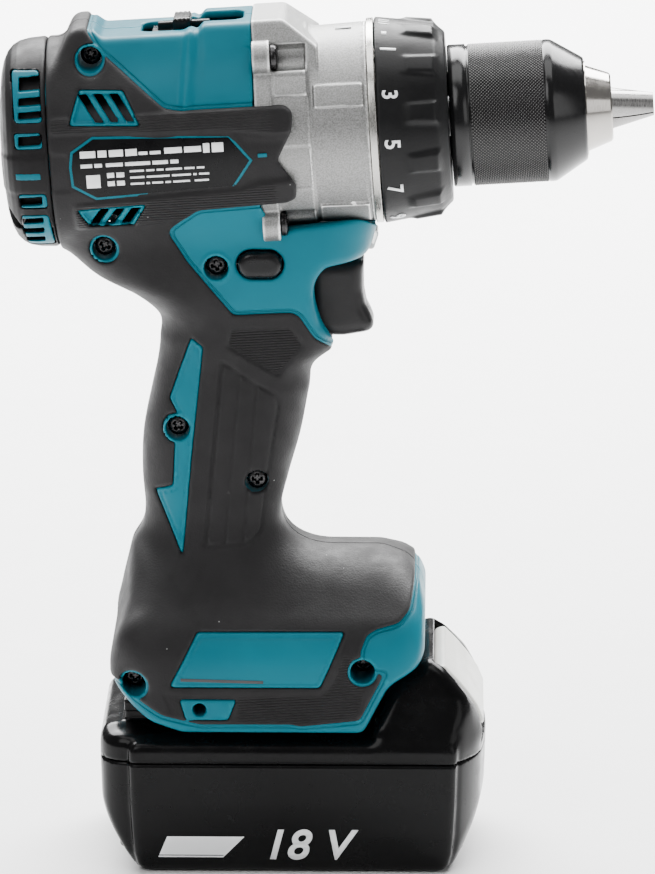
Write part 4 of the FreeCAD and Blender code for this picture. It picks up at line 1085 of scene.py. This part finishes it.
def torque_ring_form(x, y, z):
    r = np.hypot(y, z)
    radius = np.interp(x, [2.3, 2.8, 10, 20, 23.0, 23.4], [30.4, 30.9, 29.9, 28.25, 25.6, 25.1])
    body = smooth_max(r - radius, 2.3 - x, 0.5)
    angle = np.arctan2(y, z) + math.radians(15.5)
    step = math.radians(30)
    off = (angle + step / 2) % step - step / 2
    across = r * np.sin(off)
    lug_top = np.interp(x, [8.6, 12.0, 19.5, 21.6], [28.9, 30.35, 29.5, 26.0])
    lug = smooth_max(smooth_max(r - lug_top, np.abs(across) - 3.1 + 0.35 * (r - 29), 0.7), x - 21.3, 0.6)
    body = smooth_min(body, most(lug, 8.0 - x), 0.9)
    body = smooth_max(body, x - RING_END, 0.5)
    inner = np.where(x < 20.8, 26.6, 16.6)
    return smooth_max(body, inner - r, 0.4)


def vent_frames(x, y, z):
    """Framed vent areas on both flanks of the rear cover."""
    best = np.full(x.shape, 1e3, np.float32)
    for middle, low, high in COVER_VENTS:
        lean = x - middle + 0.05 * (z - (low + high) / 2)
        frame = smooth_max(np.abs(lean) - 4.1, np.abs(z - (low + high) / 2) - (high - low) / 2, 1.2)
        best = least(best, frame)
    return most(best, 8 - np.abs(y))


def cover_grille_form(x, y, z):
    """Teal frames and slats that show in the vents of the rear cover."""
    outer = polygon(COVER_PROFILE, x, np.hypot(y, z + BARREL_DROP))
    frame = vent_frames(x, y, z)
    slots = np.full(x.shape, 1e3, np.float32)
    for middle, half, lean in COVER_SLOTS:
        across = z - middle - (x + 101) * lean
        slots = least(slots, smooth_max(np.abs(x + 101.0 - 0.05 * z) - 3.4, np.abs(across) - half, 0.5))
    form = smooth_max(most(outer - 0.2, -(outer + 2.4)), frame + 0.05, 0.3)
    bar = most(slab(x, -101.8, 3.7), slab(z, -4.9, 0.95), 20 - np.abs(y))
    form = least(form, most(outer - 0.5, -(outer + 1), bar))
    form = smooth_max(form, -most(slots, 8 - np.abs(y)), 0.25)
    return most(form, x - COVER_X + 0.4)


def cover_form(x, y, z):
    """Rear cover: domed end cap with vents on both sides."""
    zc = z + BARREL_DROP
    side = np.abs(y)
    r = np.hypot(y, zc)
    outer = polygon(COVER_PROFILE, x, r)
    band = strip(z, -10.2, 0.9, 0.8) * ramp(side, 15, 20)
    outer = outer - 0.35 * band
    outer = outer + 0.35 * strip(x, -96.2, -95.0, 0.25)
    outer = outer + 2.6 * ramp(-vent_frames(x, y, z), -0.1, 0.15)
    form = smooth_max(outer, -(outer + 2.2), 0.3)
    form = least(form, most(slab(r, 24.0, 1.0), -108 - x, x + 96))
    for sy, sz in COVER_SCREWS:
        at = np.hypot(y - sy, z - sz)
        post = most(at - 4.6, -109.6 - x, x + 97)
        form = least(form, most(post, outer + 0.4))
        form = smooth_max(form, -most(at - 3.3, x + 103.6), 0.5)
    return most(form, x - COVER_X)


COVER_PROFILE = [(-90, -5), (-111.0, -5), (-110.95, 8), (-110.5, 15.5), (-109.6, 22.4), (-108.8, 25.4),
                 (-107.6, 27.9), (-106.0, 29.6), (-104.0, 30.7), (-101.0, 31.35), (-97, 31.6), (-90, 31.7)]
# middle x, z range of each framed vent; then middle z, half height and lean of each slot
COVER_VENTS = [(-101.1, 10.9, 24.7), (-101.1, 3.4, 8.0), (-101.0, -15.0, -10.5), (-100.7, -29.0, -17.6)]
COVER_SLOTS = [(21.2, 1.9, 0.05), (16.6, 1.2, 0.05), (12.9, 1.1, 0.05), (5.7, 1.5, 0.05), (-12.8, 1.4, 0.05),
               (-19.5, 0.95, 0.06), (-23.1, 0.95, 0.06), (-26.6, 0.95, 0.06)]
COVER_SCREWS = [(18.5, 18.0), (-18.5, -19.5)]


def knurled_sleeve():
    """Chuck sleeve: collar, diamond knurl cut in the surface, polished cone."""
    around, pitch = 128, 2 * math.pi * SLEEVE_R / 128
    fine = 4
    columns = around * fine
    profile = [(23.65, 19.4), (23.65, 20.9), (24.1, 21.3), (26.5, 21.3), (28.9, 21.3), (29.15, 20.7),
               (29.55, 20.7), (29.8, 21.05)]
    rows = int(round((52.2 - 29.8) / (pitch / fine)))
    for k in range(1, rows):
        profile.append((29.8 + (52.2 - 29.8) * k / rows, None))
    profile += [(52.2, 21.05), (52.45, 21.25), (53.4, 21.3), (54.4, 21.2), (55.0, 20.95), (63.4, 15.75),
                (64.1, 15.2), (64.2, 14.9), (64.2, 14.5), (57.4, 14.5), (57.4, 19.4)]
    angles = 2 * math.pi * np.arange(columns) / columns
    points = []
    u = np.arange(columns) / fine
    for k, (x, r) in enumerate(profile):
        if r is None:
            v = (k - 7) / fine
            first = np.abs((u + v) % 1 - 0.5) * 2
            second = np.abs((u - v) % 1 - 0.5) * 2
            radius = 20.85 + 0.5 * least(first, second) ** 0.8
        else:
            radius = np.full(columns, r)
        points.append(np.stack([np.full(columns, x), radius * np.cos(angles), radius * np.sin(angles)], 1))
    count = len(profile)
    k = np.arange(count)[:, None]
    j = np.arange(columns)[None]
    ring, following = k * columns, ((k + 1) % count) * columns
    ahead = (j + 1) % columns
    faces = np.stack([ring + j, ring + ahead, following + ahead, following + j], 2).reshape(-1, 4)
    obj = new_object("chuck_sleeve_knurled", np.concatenate(points), faces, HEAD_MATRIX)
    knurl = [1.0 if r is None else 0.0 for x, r in profile]
    set_attribute(obj, "knurl", np.repeat(knurl, columns))
    dress(obj, MATERIAL["chuck"], "chuck_sleeve", "chuck_black", "chuck_sleeve")


def text_mesh(text, size, **settings):
    """Flat figures in mm about their middle."""
    data = bpy.data.curves.new("text", "FONT")
    data.body, data.size = text, size
    data.align_x, data.align_y = "CENTER", "CENTER"
    for key, value in settings.items():
        setattr(data, key, value)
    mesh = taken(linked("text", data), bpy.context.evaluated_depsgraph_get())
    bm = bmesh.new()
    bm.from_mesh(mesh)
    bmesh.ops.remove_doubles(bm, verts=bm.verts[:], dist=0.0001)
    return bm


def printed(name, bm, matrix, body):
    """White print, a fifth of a millimetre thick."""
    obj = smooth_mesh(name, bm, matrix)
    thick = obj.modifiers.new("thick", "SOLIDIFY")
    thick.thickness = 0.0002
    return dress(obj, MATERIAL["print_white"], body, "plate_print")


def place_on_ring(bm, angle, x0, raise_by):
    """Wraps a flat mesh on gear case or ring: its x goes round, its y to the chuck."""
    for vert in bm.verts:
        x = x0 + vert.co.y
        r = float(np.interp(x, *RING_PROFILE)) + raise_by
        phi = math.radians(angle) + vert.co.x / r
        vert.co = (x, -r * math.sin(phi), r * math.cos(phi))


def ring_mark(name, outlines, angle, x0, body, raise_by=0.08):
    bm = bmesh.new()
    for loop in outlines:
        bm.faces.new([bm.verts.new((a, b, 0)) for a, b in loop])
    place_on_ring(bm, angle, x0, raise_by)
    return printed(name, bm, HEAD_MATRIX, body)


def dial_number(text, angle):
    """Plain figure on the torque ring, its top towards the chuck."""
    bm = text_mesh(text, 6.4, offset=0.12, resolution_u=6)
    place_on_ring(bm, angle, 6.2, 0.05)
    return printed("dial_number_" + text, bm, HEAD_MATRIX, "torque_ring")


def head_pieces():
    moulded("gear_case", gear_case_form, (-34.6, -33.5, -33.5), (0.6, 33.5, 36.5), STEP * 0.9, HEAD_MATRIX,
            "aluminium", "housing", "cast_aluminium", "gear_housing")
    moulded("torque_ring_body", torque_ring_form, (1.6, -32.2, -32.2), (24.0, 32.2, 32.2), STEP, HEAD_MATRIX,
            "ring_black", "torque_ring", "black_nylon", "torque_ring")
    low, high = (-112.2, -33.0, -34.0), (-95.0, 33.0, 33.0)
    moulded("rear_cap", cover_form, low, high, STEP, HEAD_MATRIX,
            "cover", "housing", "black_nylon", "rear_cover")
    moulded("rear_cap_grille", cover_grille_form, low, high, STEP * 0.58, HEAD_MATRIX,
            "teal_plain", "housing", "teal_shell")
    band = turned("band", [(0.0, 24.8), (0.0, 30.7), (2.05, 30.75), (2.05, 24.8)], bevel=0.2)
    dress(band, MATERIAL["plated"], "housing", "plated_band", "index_band")
    knurled_sleeve()
    for text, angle in (("1", 35.2), ("3", 64.5), ("5", 92.4), ("7", 121.0), ("9", 150.5)):
        dial_number(text, angle)
    dash = [[(-0.9, -0.75), (0.9, -0.75), (0.9, 0.75), (-0.9, 0.75)]]
    ring_mark("dial_dash", dash, 21.3, 5.4, "torque_ring")
    bars = [[(-2.2 + 1.9 * k, 0.2), (-1.5 + 1.9 * k, 0.2), (-0.9 + 1.9 * k, 3.4), (-1.6 + 1.9 * k, 3.4)]
            for k in range(3)]
    ring_mark("dial_bars", bars, 5.3, 3.6, "torque_ring")


# ---- label, screws and controls ---------------------------------------------------------------
def barrel_side(x, z):
    """Half width of the motor casing at a head-frame point of its side."""
    return math.sqrt(max(BARREL_R ** 2 - (z + BARREL_DROP) ** 2, 1.0))


def grown(outline, amount):
    """Outline moved outwards by the amount."""
    points = [Vector(p) for p in outline]
    area = sum(a.x * b.y - b.x * a.y for a, b in zip(points, points[1:] + points[:1]))
    turn = 1 if area > 0 else -1
    result = []
    for k, p in enumerate(points):
        before, after = (p - points[k - 1]).normalized(), (points[(k + 1) % len(points)] - p).normalized()
        n1 = Vector((before.y, -before.x)) * turn
        n2 = Vector((after.y, -after.x)) * turn
        both = (n1 + n2) / (1 + n1.dot(n2))
        result.append(tuple(p + both * amount))
    return result


def label_pieces():
    for name, grow, lift, material, slot_name in (("label_border", 0.75, 0.57, "teal_plain", "teal_shell"),
                                                  ("label_plate", 0.0, 0.7, "label", "plate_print")):
        plate = on_surface(name, grown(LABEL, grow), barrel_side, lift, 0.3, matrix=HEAD_MATRIX)
        dress(plate, MATERIAL[material], "housing", slot_name)
    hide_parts("rating_plate")
    dash = on_surface("label_dash", [(-33.5, -1.6), (-30.8, -1.6), (-30.8, -2.7), (-33.5, -2.7)], barrel_side,
                      0.75, 0.6, matrix=HEAD_MATRIX)
    dress(dash, MATERIAL["teal_plain"], "housing", "teal_shell")
    # start x, z, height of the letters' stand-ins, lengths of the words in the row
    rows = [(-86.0, 0.0, 2.0, (4.6, 2.6, 4.2, 3.4)), (-68.6, 0.1, 0.95, (2.6, 3.2)),
            (-61.0, 0.1, 1.7, (5.2, 5.0)), (-49.5, -0.3, 2.8, (1.9, 3.4)), (-86.0, -3.0, 1.1, (3.4, 2.2)),
            (-78.5, -3.0, 1.1, (5.0, 7.4, 4.6, 2.4)), (-71.6, -5.0, 0.62, (4.2, 2.4, 2.0, 4.8, 3.0, 2.2)),
            (-71.6, -7.0, 0.62, (4.2, 6.8, 5.6, 1.0, 3.0)),
            (-71.6, -9.0, 0.62, (4.0, 1.0, 3.2, 1.6, 5.0, 0.0, 4.2)), (-84.6, -9.4, 4.1, (4.1,)),
            (-78.4, -6.4, 1.5, (2.1, 2.3)), (-78.4, -9.0, 1.5, (2.1, 2.3))]
    bars = []
    for x, z, height, words in rows:
        for word in words:
            if word:
                corners = [(x, z), (x + word, z), (x + word, z + height), (x, z + height)]
                bars.append(on_surface("bar", corners, barrel_side, 0.77, 0.0, matrix=HEAD_MATRIX, bevel=0))
            x += word + 0.7
    dress(joined("label_lines", bars), MATERIAL["print_white"], "housing", "plate_print")


def surface_half(x, z):
    """Half width of the teal moulding at a point of the side view."""
    y = np.arange(4, 44, 0.1, dtype=np.float32)
    inside = base_form(np.full(y.shape, x, np.float32), y, np.full(y.shape, z, np.float32)) < 0
    return float(y[inside].max())


def small_marks():
    """Painted shade: a thin dark plate on each side standing for the narrow slot under the hook panel's
    middle; and the index line on top of the gear case.
    """
    for side, tag in ((-1, "right"), (1, "left")):
        # painted shade: a dark plate lying on the panel where the slot's shade shows
        slot = on_surface("hook_slot_shade_" + tag, [(-43.4, 62.2), (-18.6, 61.6), (-18.6, 62.5), (-43.4, 63.1)],
                          lambda x, z: surface_half(x, z) + 0.86, 0.14, 0.3, 3.0, side=side, bevel=0.05)
        dress(slot, MATERIAL["nylon"], "housing", "black_nylon")
    pointer = [[(-0.15, 0.0), (0.25, 0.0), (0.7, 4.8), (-0.75, 4.8)]]
    ring_mark("index_line", pointer, 8.4, -9.2, "housing", 0.3)


def side_frame(x, y, z, side):
    """Frame of a screw whose head looks out of that side of the tool."""
    turn = Matrix.Rotation(math.radians(90 if side < 0 else -90), 4, "X")
    return BODY_MATRIX @ Matrix.Translation((x, y * side, z)) @ turn


def screw_pieces():
    pan = screw(3.15, 2.0)
    frames = []
    for k, (x, z, _) in enumerate(BOSSES):
        depth = surface_half(x, z) - SCREW_DEPTHS[k]
        frames.append(side_frame(x, depth, z, -1) @ Matrix.Rotation(0.4 + 0.7 * k, 4, "Z"))
    placed_screws("case_screws", pan, frames, "housing", "housing_screws")
    frames = [head_frame(-105.8, y, z, -90, 0.3 + k) for k, (y, z) in enumerate(COVER_SCREWS)]
    placed_screws("cover_screws", pan, frames, "housing", "rear_cover_screws")
    cap = screw(3.9, 2.4)
    places = [(s * y, z) for s in (-1, 1) for y, z in CASE_SCREWS]
    frames = [head_frame(-25.9, y, z, 90, 0.5 + k) for k, (y, z) in enumerate(places)]
    placed_screws("gear_case_screws", cap, frames, "housing", "gear_housing_screws")
    frames = []
    for x, y, floor in [(x, s * y, floor) for s in (-1, 1) for x, y, floor in PACK_SCREWS]:
        place = Matrix.Translation((x, y, floor - 2.4))
        frames.append(BODY_MATRIX @ place @ Matrix.Rotation(math.pi, 4, "X"))
    placed_screws("battery_case_screws", pan, frames, "battery", "battery_screws")


TRIGGER = [(11.3, 184.6), (10.9, 180.0), (10.8, 175.2), (11.6, 170.6), (13.3, 167.2), (14.2, 164.6),
           (13.7, 162.9), (12.0, 162.0), (5.0, 160.8), (-5.4, 161.0), (-5.4, 183.2), (0.5, 184.1)]


def trigger_form(x, y, z):
    side = TRIGGER_MAP(x, z)
    pad = smooth_max(side, np.abs(y) - 8.0, 4.2)
    pad = pad - 0.25 * strip(z, 168, 180, 3) * ramp(-np.abs(y), -3.5, -1.5) * ramp(x, 5, 9)
    hollow = most(np.abs(y) - 6.0, x - 6.5, slab(z, 172.3, 9.2))
    pad = smooth_max(pad, -hollow, 0.4)
    stem = most(np.abs(y) - 3, slab(z, 173, 3), slab(x, -2, 10))
    return least(pad, stem)


TRIGGER_MAP = SideMap(side_outline(TRIGGER, 2))


def lever_form(x, y, z):
    side = np.abs(y)
    end = pill_distance(x - LEVER_X, z - LEVER_Z, 2.55, 4.05)
    form = smooth_max(end, side - 22.5, 2.2)
    waist = most(slab(z, LEVER_Z, 2.0), slab(x, LEVER_X, 6.5))
    return np.where(side < 15, most(waist, end), form)


def selector_form(x, y, z):
    """H-shaped slide with a ribbed knob, head frame."""
    plate = most(slab(x, -54.7, 9.2), np.abs(y) - 6.5, slab(z, 30.4, 0.9))
    knob = smooth_max(smooth_max(slab(x, -54.6, 2.7), np.abs(y) - 5.9, 0.8), slab(z, 33.0, 2.5), 0.9)
    knob = knob + 0.3 * most(np.cos((x + 54.6) * 2 * math.pi / 1.3), 0) * ramp(z, 34.4, 35.2)
    rib = smooth_max(most(slab(x, -54.2, 7.8), np.abs(y) - 1.5), slab(z, 32.2, 1.5), 0.6)
    riser = most(slab(x, -47.5, 1.5), np.abs(y) - 3.0, slab(z, 27.4, 2.6))
    return least(smooth_min(plate, knob, 0.8), rib, riser)


def control_pieces():
    moulded("trigger_pad", trigger_form, (-13, -9, 158), (16, 9, 187), 0.55, BODY_MATRIX, "trigger_black",
            "trigger", "black_nylon", "trigger")
    moulded("direction_bar", lever_form, (-28, -23.4, 180), (-11, 23.4, 192), 0.55, BODY_MATRIX, "lever",
            "reverse_lever", "black_nylon", "reverse_lever")
    moulded("speed_knob", selector_form, (-64.8, -7.4, 24.2), (-44.5, 7.4, 36.6), 0.42, HEAD_MATRIX, "lever",
            "speed_selector", "black_nylon", "speed_selector")
    outline = [(9.7, 187.4), (14.0, 187.3), (15.6, 192.2), (14.6, 193.2), (11.4, 192.8)]
    lens = prism("lamp_lens", outline, -4.8, 4.8, bevel=0.7)
    dress(lens, MATERIAL["lens"], "housing", "lens_clear", "light_lens")


# ---- battery -----------------------------------------------------------------------------------
REAR_X, FRONT_X = -68.4, 48.5
PACK_SCREWS = [(-59.5, 27.0, 8.5), (38.5, 22.0, 6.5)]     # x, |y|, floor of the recess
HUMP_SIDE = [(15, 38), (14.0, 45.0), (19.9, 57.6), (21.8, 59.6), (28.6, 63.4), (30.7, 64.6), (32.2, 64.4),
             (35.9, 61.9), (39.3, 58.1), (42.8, 53.9), (45.8, 49.4), (47.9, 44.2), (48.3, 41), (46, 36)]
HUMP_MAP = SideMap(side_outline(HUMP_SIDE, 2))
BUTTON = [(33.0, 61.4), (35.6, 62.4), (39.4, 58.5), (42.9, 54.3), (46.0, 49.7), (48.0, 44.9), (47.3, 43.5),
          (45.0, 44.6), (31.4, 58.2)]
BUTTON_SPACE = [(26, 44), (29.8, 62.6), (34.4, 64.4), (52, 52.0), (52, 37.6), (43.6, 39.2)]
BUTTON_MAP = SideMap(side_outline(BUTTON, 1))
BUTTON_SPACE_MAP = SideMap(side_outline(BUTTON_SPACE, 1))


def case_plan(x, y, z):
    """Plan outline of the case, drawn in towards the bottom."""
    inset = np.interp(z, [-1, 0, 1.0, 2.6, 6, 12, 22, 36], [6.6, 5.4, 3.9, 2.7, 1.7, 1.0, 0.4, 0.0])
    side = np.abs(y)
    core = plan_box(x, y, REAR_X, 44.5, 35.0, 9.0, 6.0)
    nose = smooth_max((x - FRONT_X) + 0 * y, (x - 46.4) * 0.985 + (side - 24) * 0.17, 2.0)
    nose = smooth_max(nose, (x - 40.5) * 0.80 + (side - 33.8) * 0.60, 4.0)
    core = smooth_max(np.where(x > 20, nose, core), side - 35.0, 2.5)
    core = smooth_max(core, REAR_X - x, 3.0)
    core = np.where(x < -40, plan_box(x, y, REAR_X, 44.5, 35.0, 9.0, 6.0), core) + inset
    core = smooth_max(core, -(x + 67.2) * 0.86 - (z - 17.0) * 0.51, 3.0)
    core = smooth_max(core, (x - 46.8) * 0.87 + (15.4 - z) * 0.49, 3.0)
    return core, side, inset


def case_body(x, y, z):
    core, side, inset = case_plan(x, y, z)
    panel = smooth_max(slab(x, -9.9, 49.6) + 0.9 * inset, side - CASE_Y + inset, 2.4)
    panel = smooth_max(panel, z - 42.0, 4.0)
    core = smooth_max(core, z - SHOULDER - 1.2 * ramp(-side, -30, -24), 5.0)
    return smooth_min(core, panel, 0.8)


def seam(z, at=35.2):
    return 0.35 * np.exp(-((z - at) / 0.28) ** 2)


def battery_case_form(x, y, z):
    body = case_body(x, y, z) + seam(z)
    form = smooth_max(body, -z, 1.2)
    inner = most(body + 2.4, 2.6 - z)
    form = most(form, -inner)
    for sx, sy, floor in PACK_SCREWS:
        at = np.hypot(x - sx, np.abs(y) - sy)
        form = least(form, most(at - 4.2, body + 0.2, 1 - z, z - 36))
        form = smooth_max(form, -most(at - 3.3, z - floor), 0.5)
    gauge = most(np.hypot(y - 14, z - 22) - 2.7, x + 66)
    form = smooth_max(form, -gauge, 0.4)
    return most(form, z - 35.2)


def battery_cover_form(x, y, z):
    side = np.abs(y)
    body = most(case_body(x, y, z) + seam(z), z - 46)
    flank = (side - 24.0) * 0.894 + (z - 68.0) * 0.447
    hump = smooth_max(smooth_max(HUMP_MAP(x, z), flank, 3.6), side - 36.2, 2.0)
    hump = smooth_max(hump, (x - 41.5) * 0.80 + (side - 33.0) * 0.60, 4.0)
    body = smooth_min(body, hump, 2.0)
    neck = most(side - 23.0, slab(x, -13.5, 47.5), slab(z, 46, 3.2))
    rail = smooth_max(most(side - 27.0, slab(x, -13.5, 47.5)), slab(z, 50.5, 1.9), 0.5)
    body = least(body, neck, rail)
    room = most(case_body(x, y, z) + 2.4, z - 41.0)
    body = most(body, -room)
    grooves = most(slab(side, 11, 1.4), 46.6 - z, slab(x, -47.5, 14.5))
    body = smooth_max(body, -grooves, 0.4)
    space = most(BUTTON_SPACE_MAP(x, z), side - 22.9)
    body = smooth_max(body, -space, 0.6)
    latch = most(side - 7.8, slab(x, 27.5, 5.0), slab(z, 52.2, 7.8))
    body = most(body, -latch)
    return most(body, 35.25 - z)


def button_form(x, y, z):
    pad = smooth_max(BUTTON_MAP(x, z), np.abs(y) - 22.4, 1.6)
    arm = most(np.abs(y) - 7, slab(z, 51.6, 1.5), slab(x, 31.5, 7))
    hook = most(np.abs(y) - 7, slab(z, 55, 2.2), slab(x, 26.1, 1.7))
    return smooth_min(pad, least(arm, hook), 0.5)


def battery_print():
    """Generic white bar and a plain voltage on both sides."""
    def face(x, z):
        return CASE_Y - float(np.interp(z, [0, 1.0, 2.6, 6, 12, 22, 36], [5.4, 3.9, 2.7, 1.7, 1.0, 0.4, 0.0]))
    for side, tag in ((-1, "right"), (1, "left")):
        outline = [(-50.6, 5.4), (-31.0, 5.4), (-24.5, 12.2), (-47.9, 12.2)]
        if side > 0:
            outline = [(-20 - x, z) for x, z in outline][::-1]
        bar = on_surface("battery_bar_" + tag, outline, face, 0.06, 0.25, side=side, bevel=0)
        dress(bar, MATERIAL["print_white"], "battery", "plate_print")
        bm = text_mesh("18 V", 13.5, shear=0.25, offset=0.25, space_character=1.05)
        for vert in bm.verts:
            z = 9.2 + vert.co.y
            vert.co = (-6.0 - side * vert.co.x, side * (face(0, z) + 0.06), z)
        printed("battery_volts_" + tag, bm, BODY_MATRIX, "battery")


def battery_pieces():
    step = STEP * 1.5
    moulded("power_pack_case", battery_case_form, (-70, -39, -1), (50, 39, 37), step, BODY_MATRIX, "gloss",
            "battery", "black_gloss", "battery_case")
    moulded("power_pack_cover", battery_cover_form, (-70, -39, 35), (50, 39, 72), step, BODY_MATRIX, "gloss",
            "battery", "black_gloss", "battery_cover")
    moulded("release_pad", button_form, (23, -23.6, 42), (49.4, 23.6, 64), 0.6, BODY_MATRIX, "white",
            "release_button", "white_button", "release_button")
    battery_print()


# ---- materials of pieces and kept nodes -----------------------------------------------------------
def chuck_material():
    """Black oxide, the tips of the knurl given a lighter, partly metallic colour."""
    material, tree, shader = new_material("chuck_black")
    knurl = attribute(tree, "knurl")
    sides = {0: position(tree), 1: tuple(HEAD_POS)}
    offset = node(tree, "ShaderNodeVectorMath", sides, operation="SUBTRACT").outputs[0]
    along = node(tree, "ShaderNodeVectorMath", {0: offset, 1: tuple(HEAD_AXIS)}, operation="DOT_PRODUCT")
    reach = node(tree, "ShaderNodeVectorMath", {0: offset}, operation="LENGTH").outputs["Value"]
    squared = math_node(tree, "SUBTRACT", math_node(tree, "POWER", reach, 2.0),
                        math_node(tree, "POWER", along.outputs["Value"], 2.0))
    radius = math_node(tree, "SQRT", squared)
    # knurl tips: lighter colour and some metallic, set by radius
    tip = math_node(tree, "MULTIPLY", span(tree, radius, 0.02112, 0.02130), knurl)
    cloud = span(tree, noise(tree, 80.0, 4.0), 0.3, 0.7)
    base = mix(tree, cloud, (0.0022, 0.0022, 0.0025), (0.0036, 0.0036, 0.004))
    tree.links.new(mix(tree, tip, base, (0.16, 0.156, 0.152)), shader.inputs["Base Color"])
    tree.links.new(math_node(tree, "MULTIPLY", tip, 0.3), shader.inputs["Metallic"])
    gloss = span(tree, noise(tree, 900.0, 3.0), 0.3, 0.7, 0.17, 0.23)
    tree.links.new(gloss, shader.inputs["Roughness"])
    shader.inputs["Specular IOR Level"].default_value = 0.35
    bump(tree, shader, noise(tree, 1600.0, 3.0), 0.000003, 0.4)
    return material


def lens_material():
    material, tree, shader = new_material("lens_clear")
    haze = noise(tree, 300.0, 3.0)
    tree.links.new(mix(tree, haze, (0.75, 0.76, 0.74), (0.9, 0.91, 0.9)), shader.inputs["Base Color"])
    tree.links.new(span(tree, haze, 0.3, 0.7, 0.08, 0.2), shader.inputs["Roughness"])
    shader.inputs["Transmission Weight"].default_value = 0.55
    shader.inputs["Coat Weight"].default_value = 0.6
    return material


MATERIAL = {
    "teal": teal_material(),
    "teal_plain": plastic("teal_inlay", (0.0, 0.114, 0.156), 0.05, 0.42, 2400.0, 0.00002, specular=0.12),
    "rubber": rubber_material(),
    "aluminium": cast_material(),
    "plated": metal("plated_band", (0.56, 0.55, 0.52), 0.24, turned=True),
    "ring_black": plastic("ring_black", (0.0042, 0.0042, 0.0046), 0.15, 0.4, 1500.0, 0.00003, specular=0.18),
    "cover": plastic("cover_black", (0.0085, 0.008, 0.0085), 0.15, 0.48, 1500.0, 0.00003, specular=0.12),
    "trigger_black": plastic("trigger_black", (0.0085, 0.008, 0.0085), 0.15, 0.38, 1500.0, 0.00003,
                             specular=0.25),
    "lever": plastic("lever_black", (0.003, 0.003, 0.0034), 0.15, 0.3, 1800.0, 0.00002, specular=0.25),
    "chuck": chuck_material(),
    "gloss": plastic("pack_gloss", (0.0022, 0.0022, 0.0024), 0.12, 0.22, 1800.0, 0.000006, specular=0.12),
    "white": plastic("button_white", (0.66, 0.66, 0.62), 0.03, 0.36, 2200.0, 0.00001),
    "print_white": plastic("print_white", (0.78, 0.79, 0.80), 0.03, 0.4, 2600.0, 0.000005),
    "label": plastic("label_black", (0.0022, 0.0022, 0.0026), 0.2, 0.3, 3000.0, 0.000004, specular=0.15),
    "screw": metal("screw_black", (0.045, 0.044, 0.045), 0.24, 2500.0, 0.00001),
    "lens": lens_material(),
    "bright": metal("bright_steel", (0.42, 0.40, 0.375), 0.13, turned=True, tone=0.05),
    "jaw": metal("jaw_steel", (0.30, 0.295, 0.29), 0.26, turned=True),
    "gear": metal("gear_steel", (0.36, 0.36, 0.37), 0.34),
    "bearing": metal("bearing_steel", (0.62, 0.62, 0.63), 0.2),
    "lamination": metal("lamination_steel", (0.05, 0.05, 0.052), 0.5, turned=True),
    "copper": metal("copper_wire", (0.66, 0.30, 0.13), 0.3),
    "fan": plastic("fan_plastic", (0.04, 0.04, 0.045), 0.2, 0.5),
    "nylon": plastic("inner_nylon", (0.028, 0.028, 0.03), 0.2, 0.5),
    "board": plastic("board_green", (0.015, 0.11, 0.05), 0.15, 0.35),
    "wrap": plastic("cell_wrap", (0.03, 0.24, 0.12), 0.1, 0.25),
    "nickel": metal("nickel_strip", (0.58, 0.55, 0.49), 0.3),
    "gauge": plastic("gauge_grey", (0.2, 0.2, 0.21), 0.1, 0.4),
}
KEPT = {
    "bright": ["chuck_body", "clutch_washer", "clutch_pins", "clutch_spring"],
    "jaw": ["jaw_1", "jaw_2", "jaw_3"],
    "gear": ["rotor_shaft", "first_ring_gear", "third_ring_gear", "shift_ring", "first_carrier",
             "second_planets", "second_carrier", "spindle", "chuck_nut", "clutch_nut"]
    + [f"{stage}_planet_{k}" for stage in ("first", "third") for k in (1, 2, 3)],
    "bearing": ["motor_bearings", "spindle_bearings"],
    "lamination": ["motor_stator", "rotor_core"],
    "copper": ["motor_windings"],
    "fan": ["fan"],
    "nylon": ["gearbox_plate", "trigger_switch", "terminal_block"],
    "board": ["controller", "battery_board"],
    "wrap": ["battery_cells"],
    "nickel": ["cell_straps"],
    "gauge": ["gauge_button"],
    "screw": ["chuck_screw"],
}
for kind, names in KEPT.items():
    for name in names:
        cad = frame["nodes"][name]
        cad.data.materials.clear()
        cad.data.materials.append(MATERIAL[kind])

make_stage()
make_camera()
area_light("key", (-0.9, -1.5, 1.7), (0, 0, 0.14), (1.2, 1.2), 20)
area_light("fill", (1.7, -1.3, 0.8), (0, 0, 0.14), (1.0, 1.2), 8)
area_light("top", (0.0, -0.1, 1.5), (0, 0, 0.14), (1.4, 0.8), 14)
area_light("backdrop", (0.0, 1.5, 1.5), (0, 1.1, 0.0), (2.6, 1.6), 330)
housing_pieces()
grip_pieces()
head_pieces()
label_pieces()
small_marks()
screw_pieces()
control_pieces()
battery_pieces()
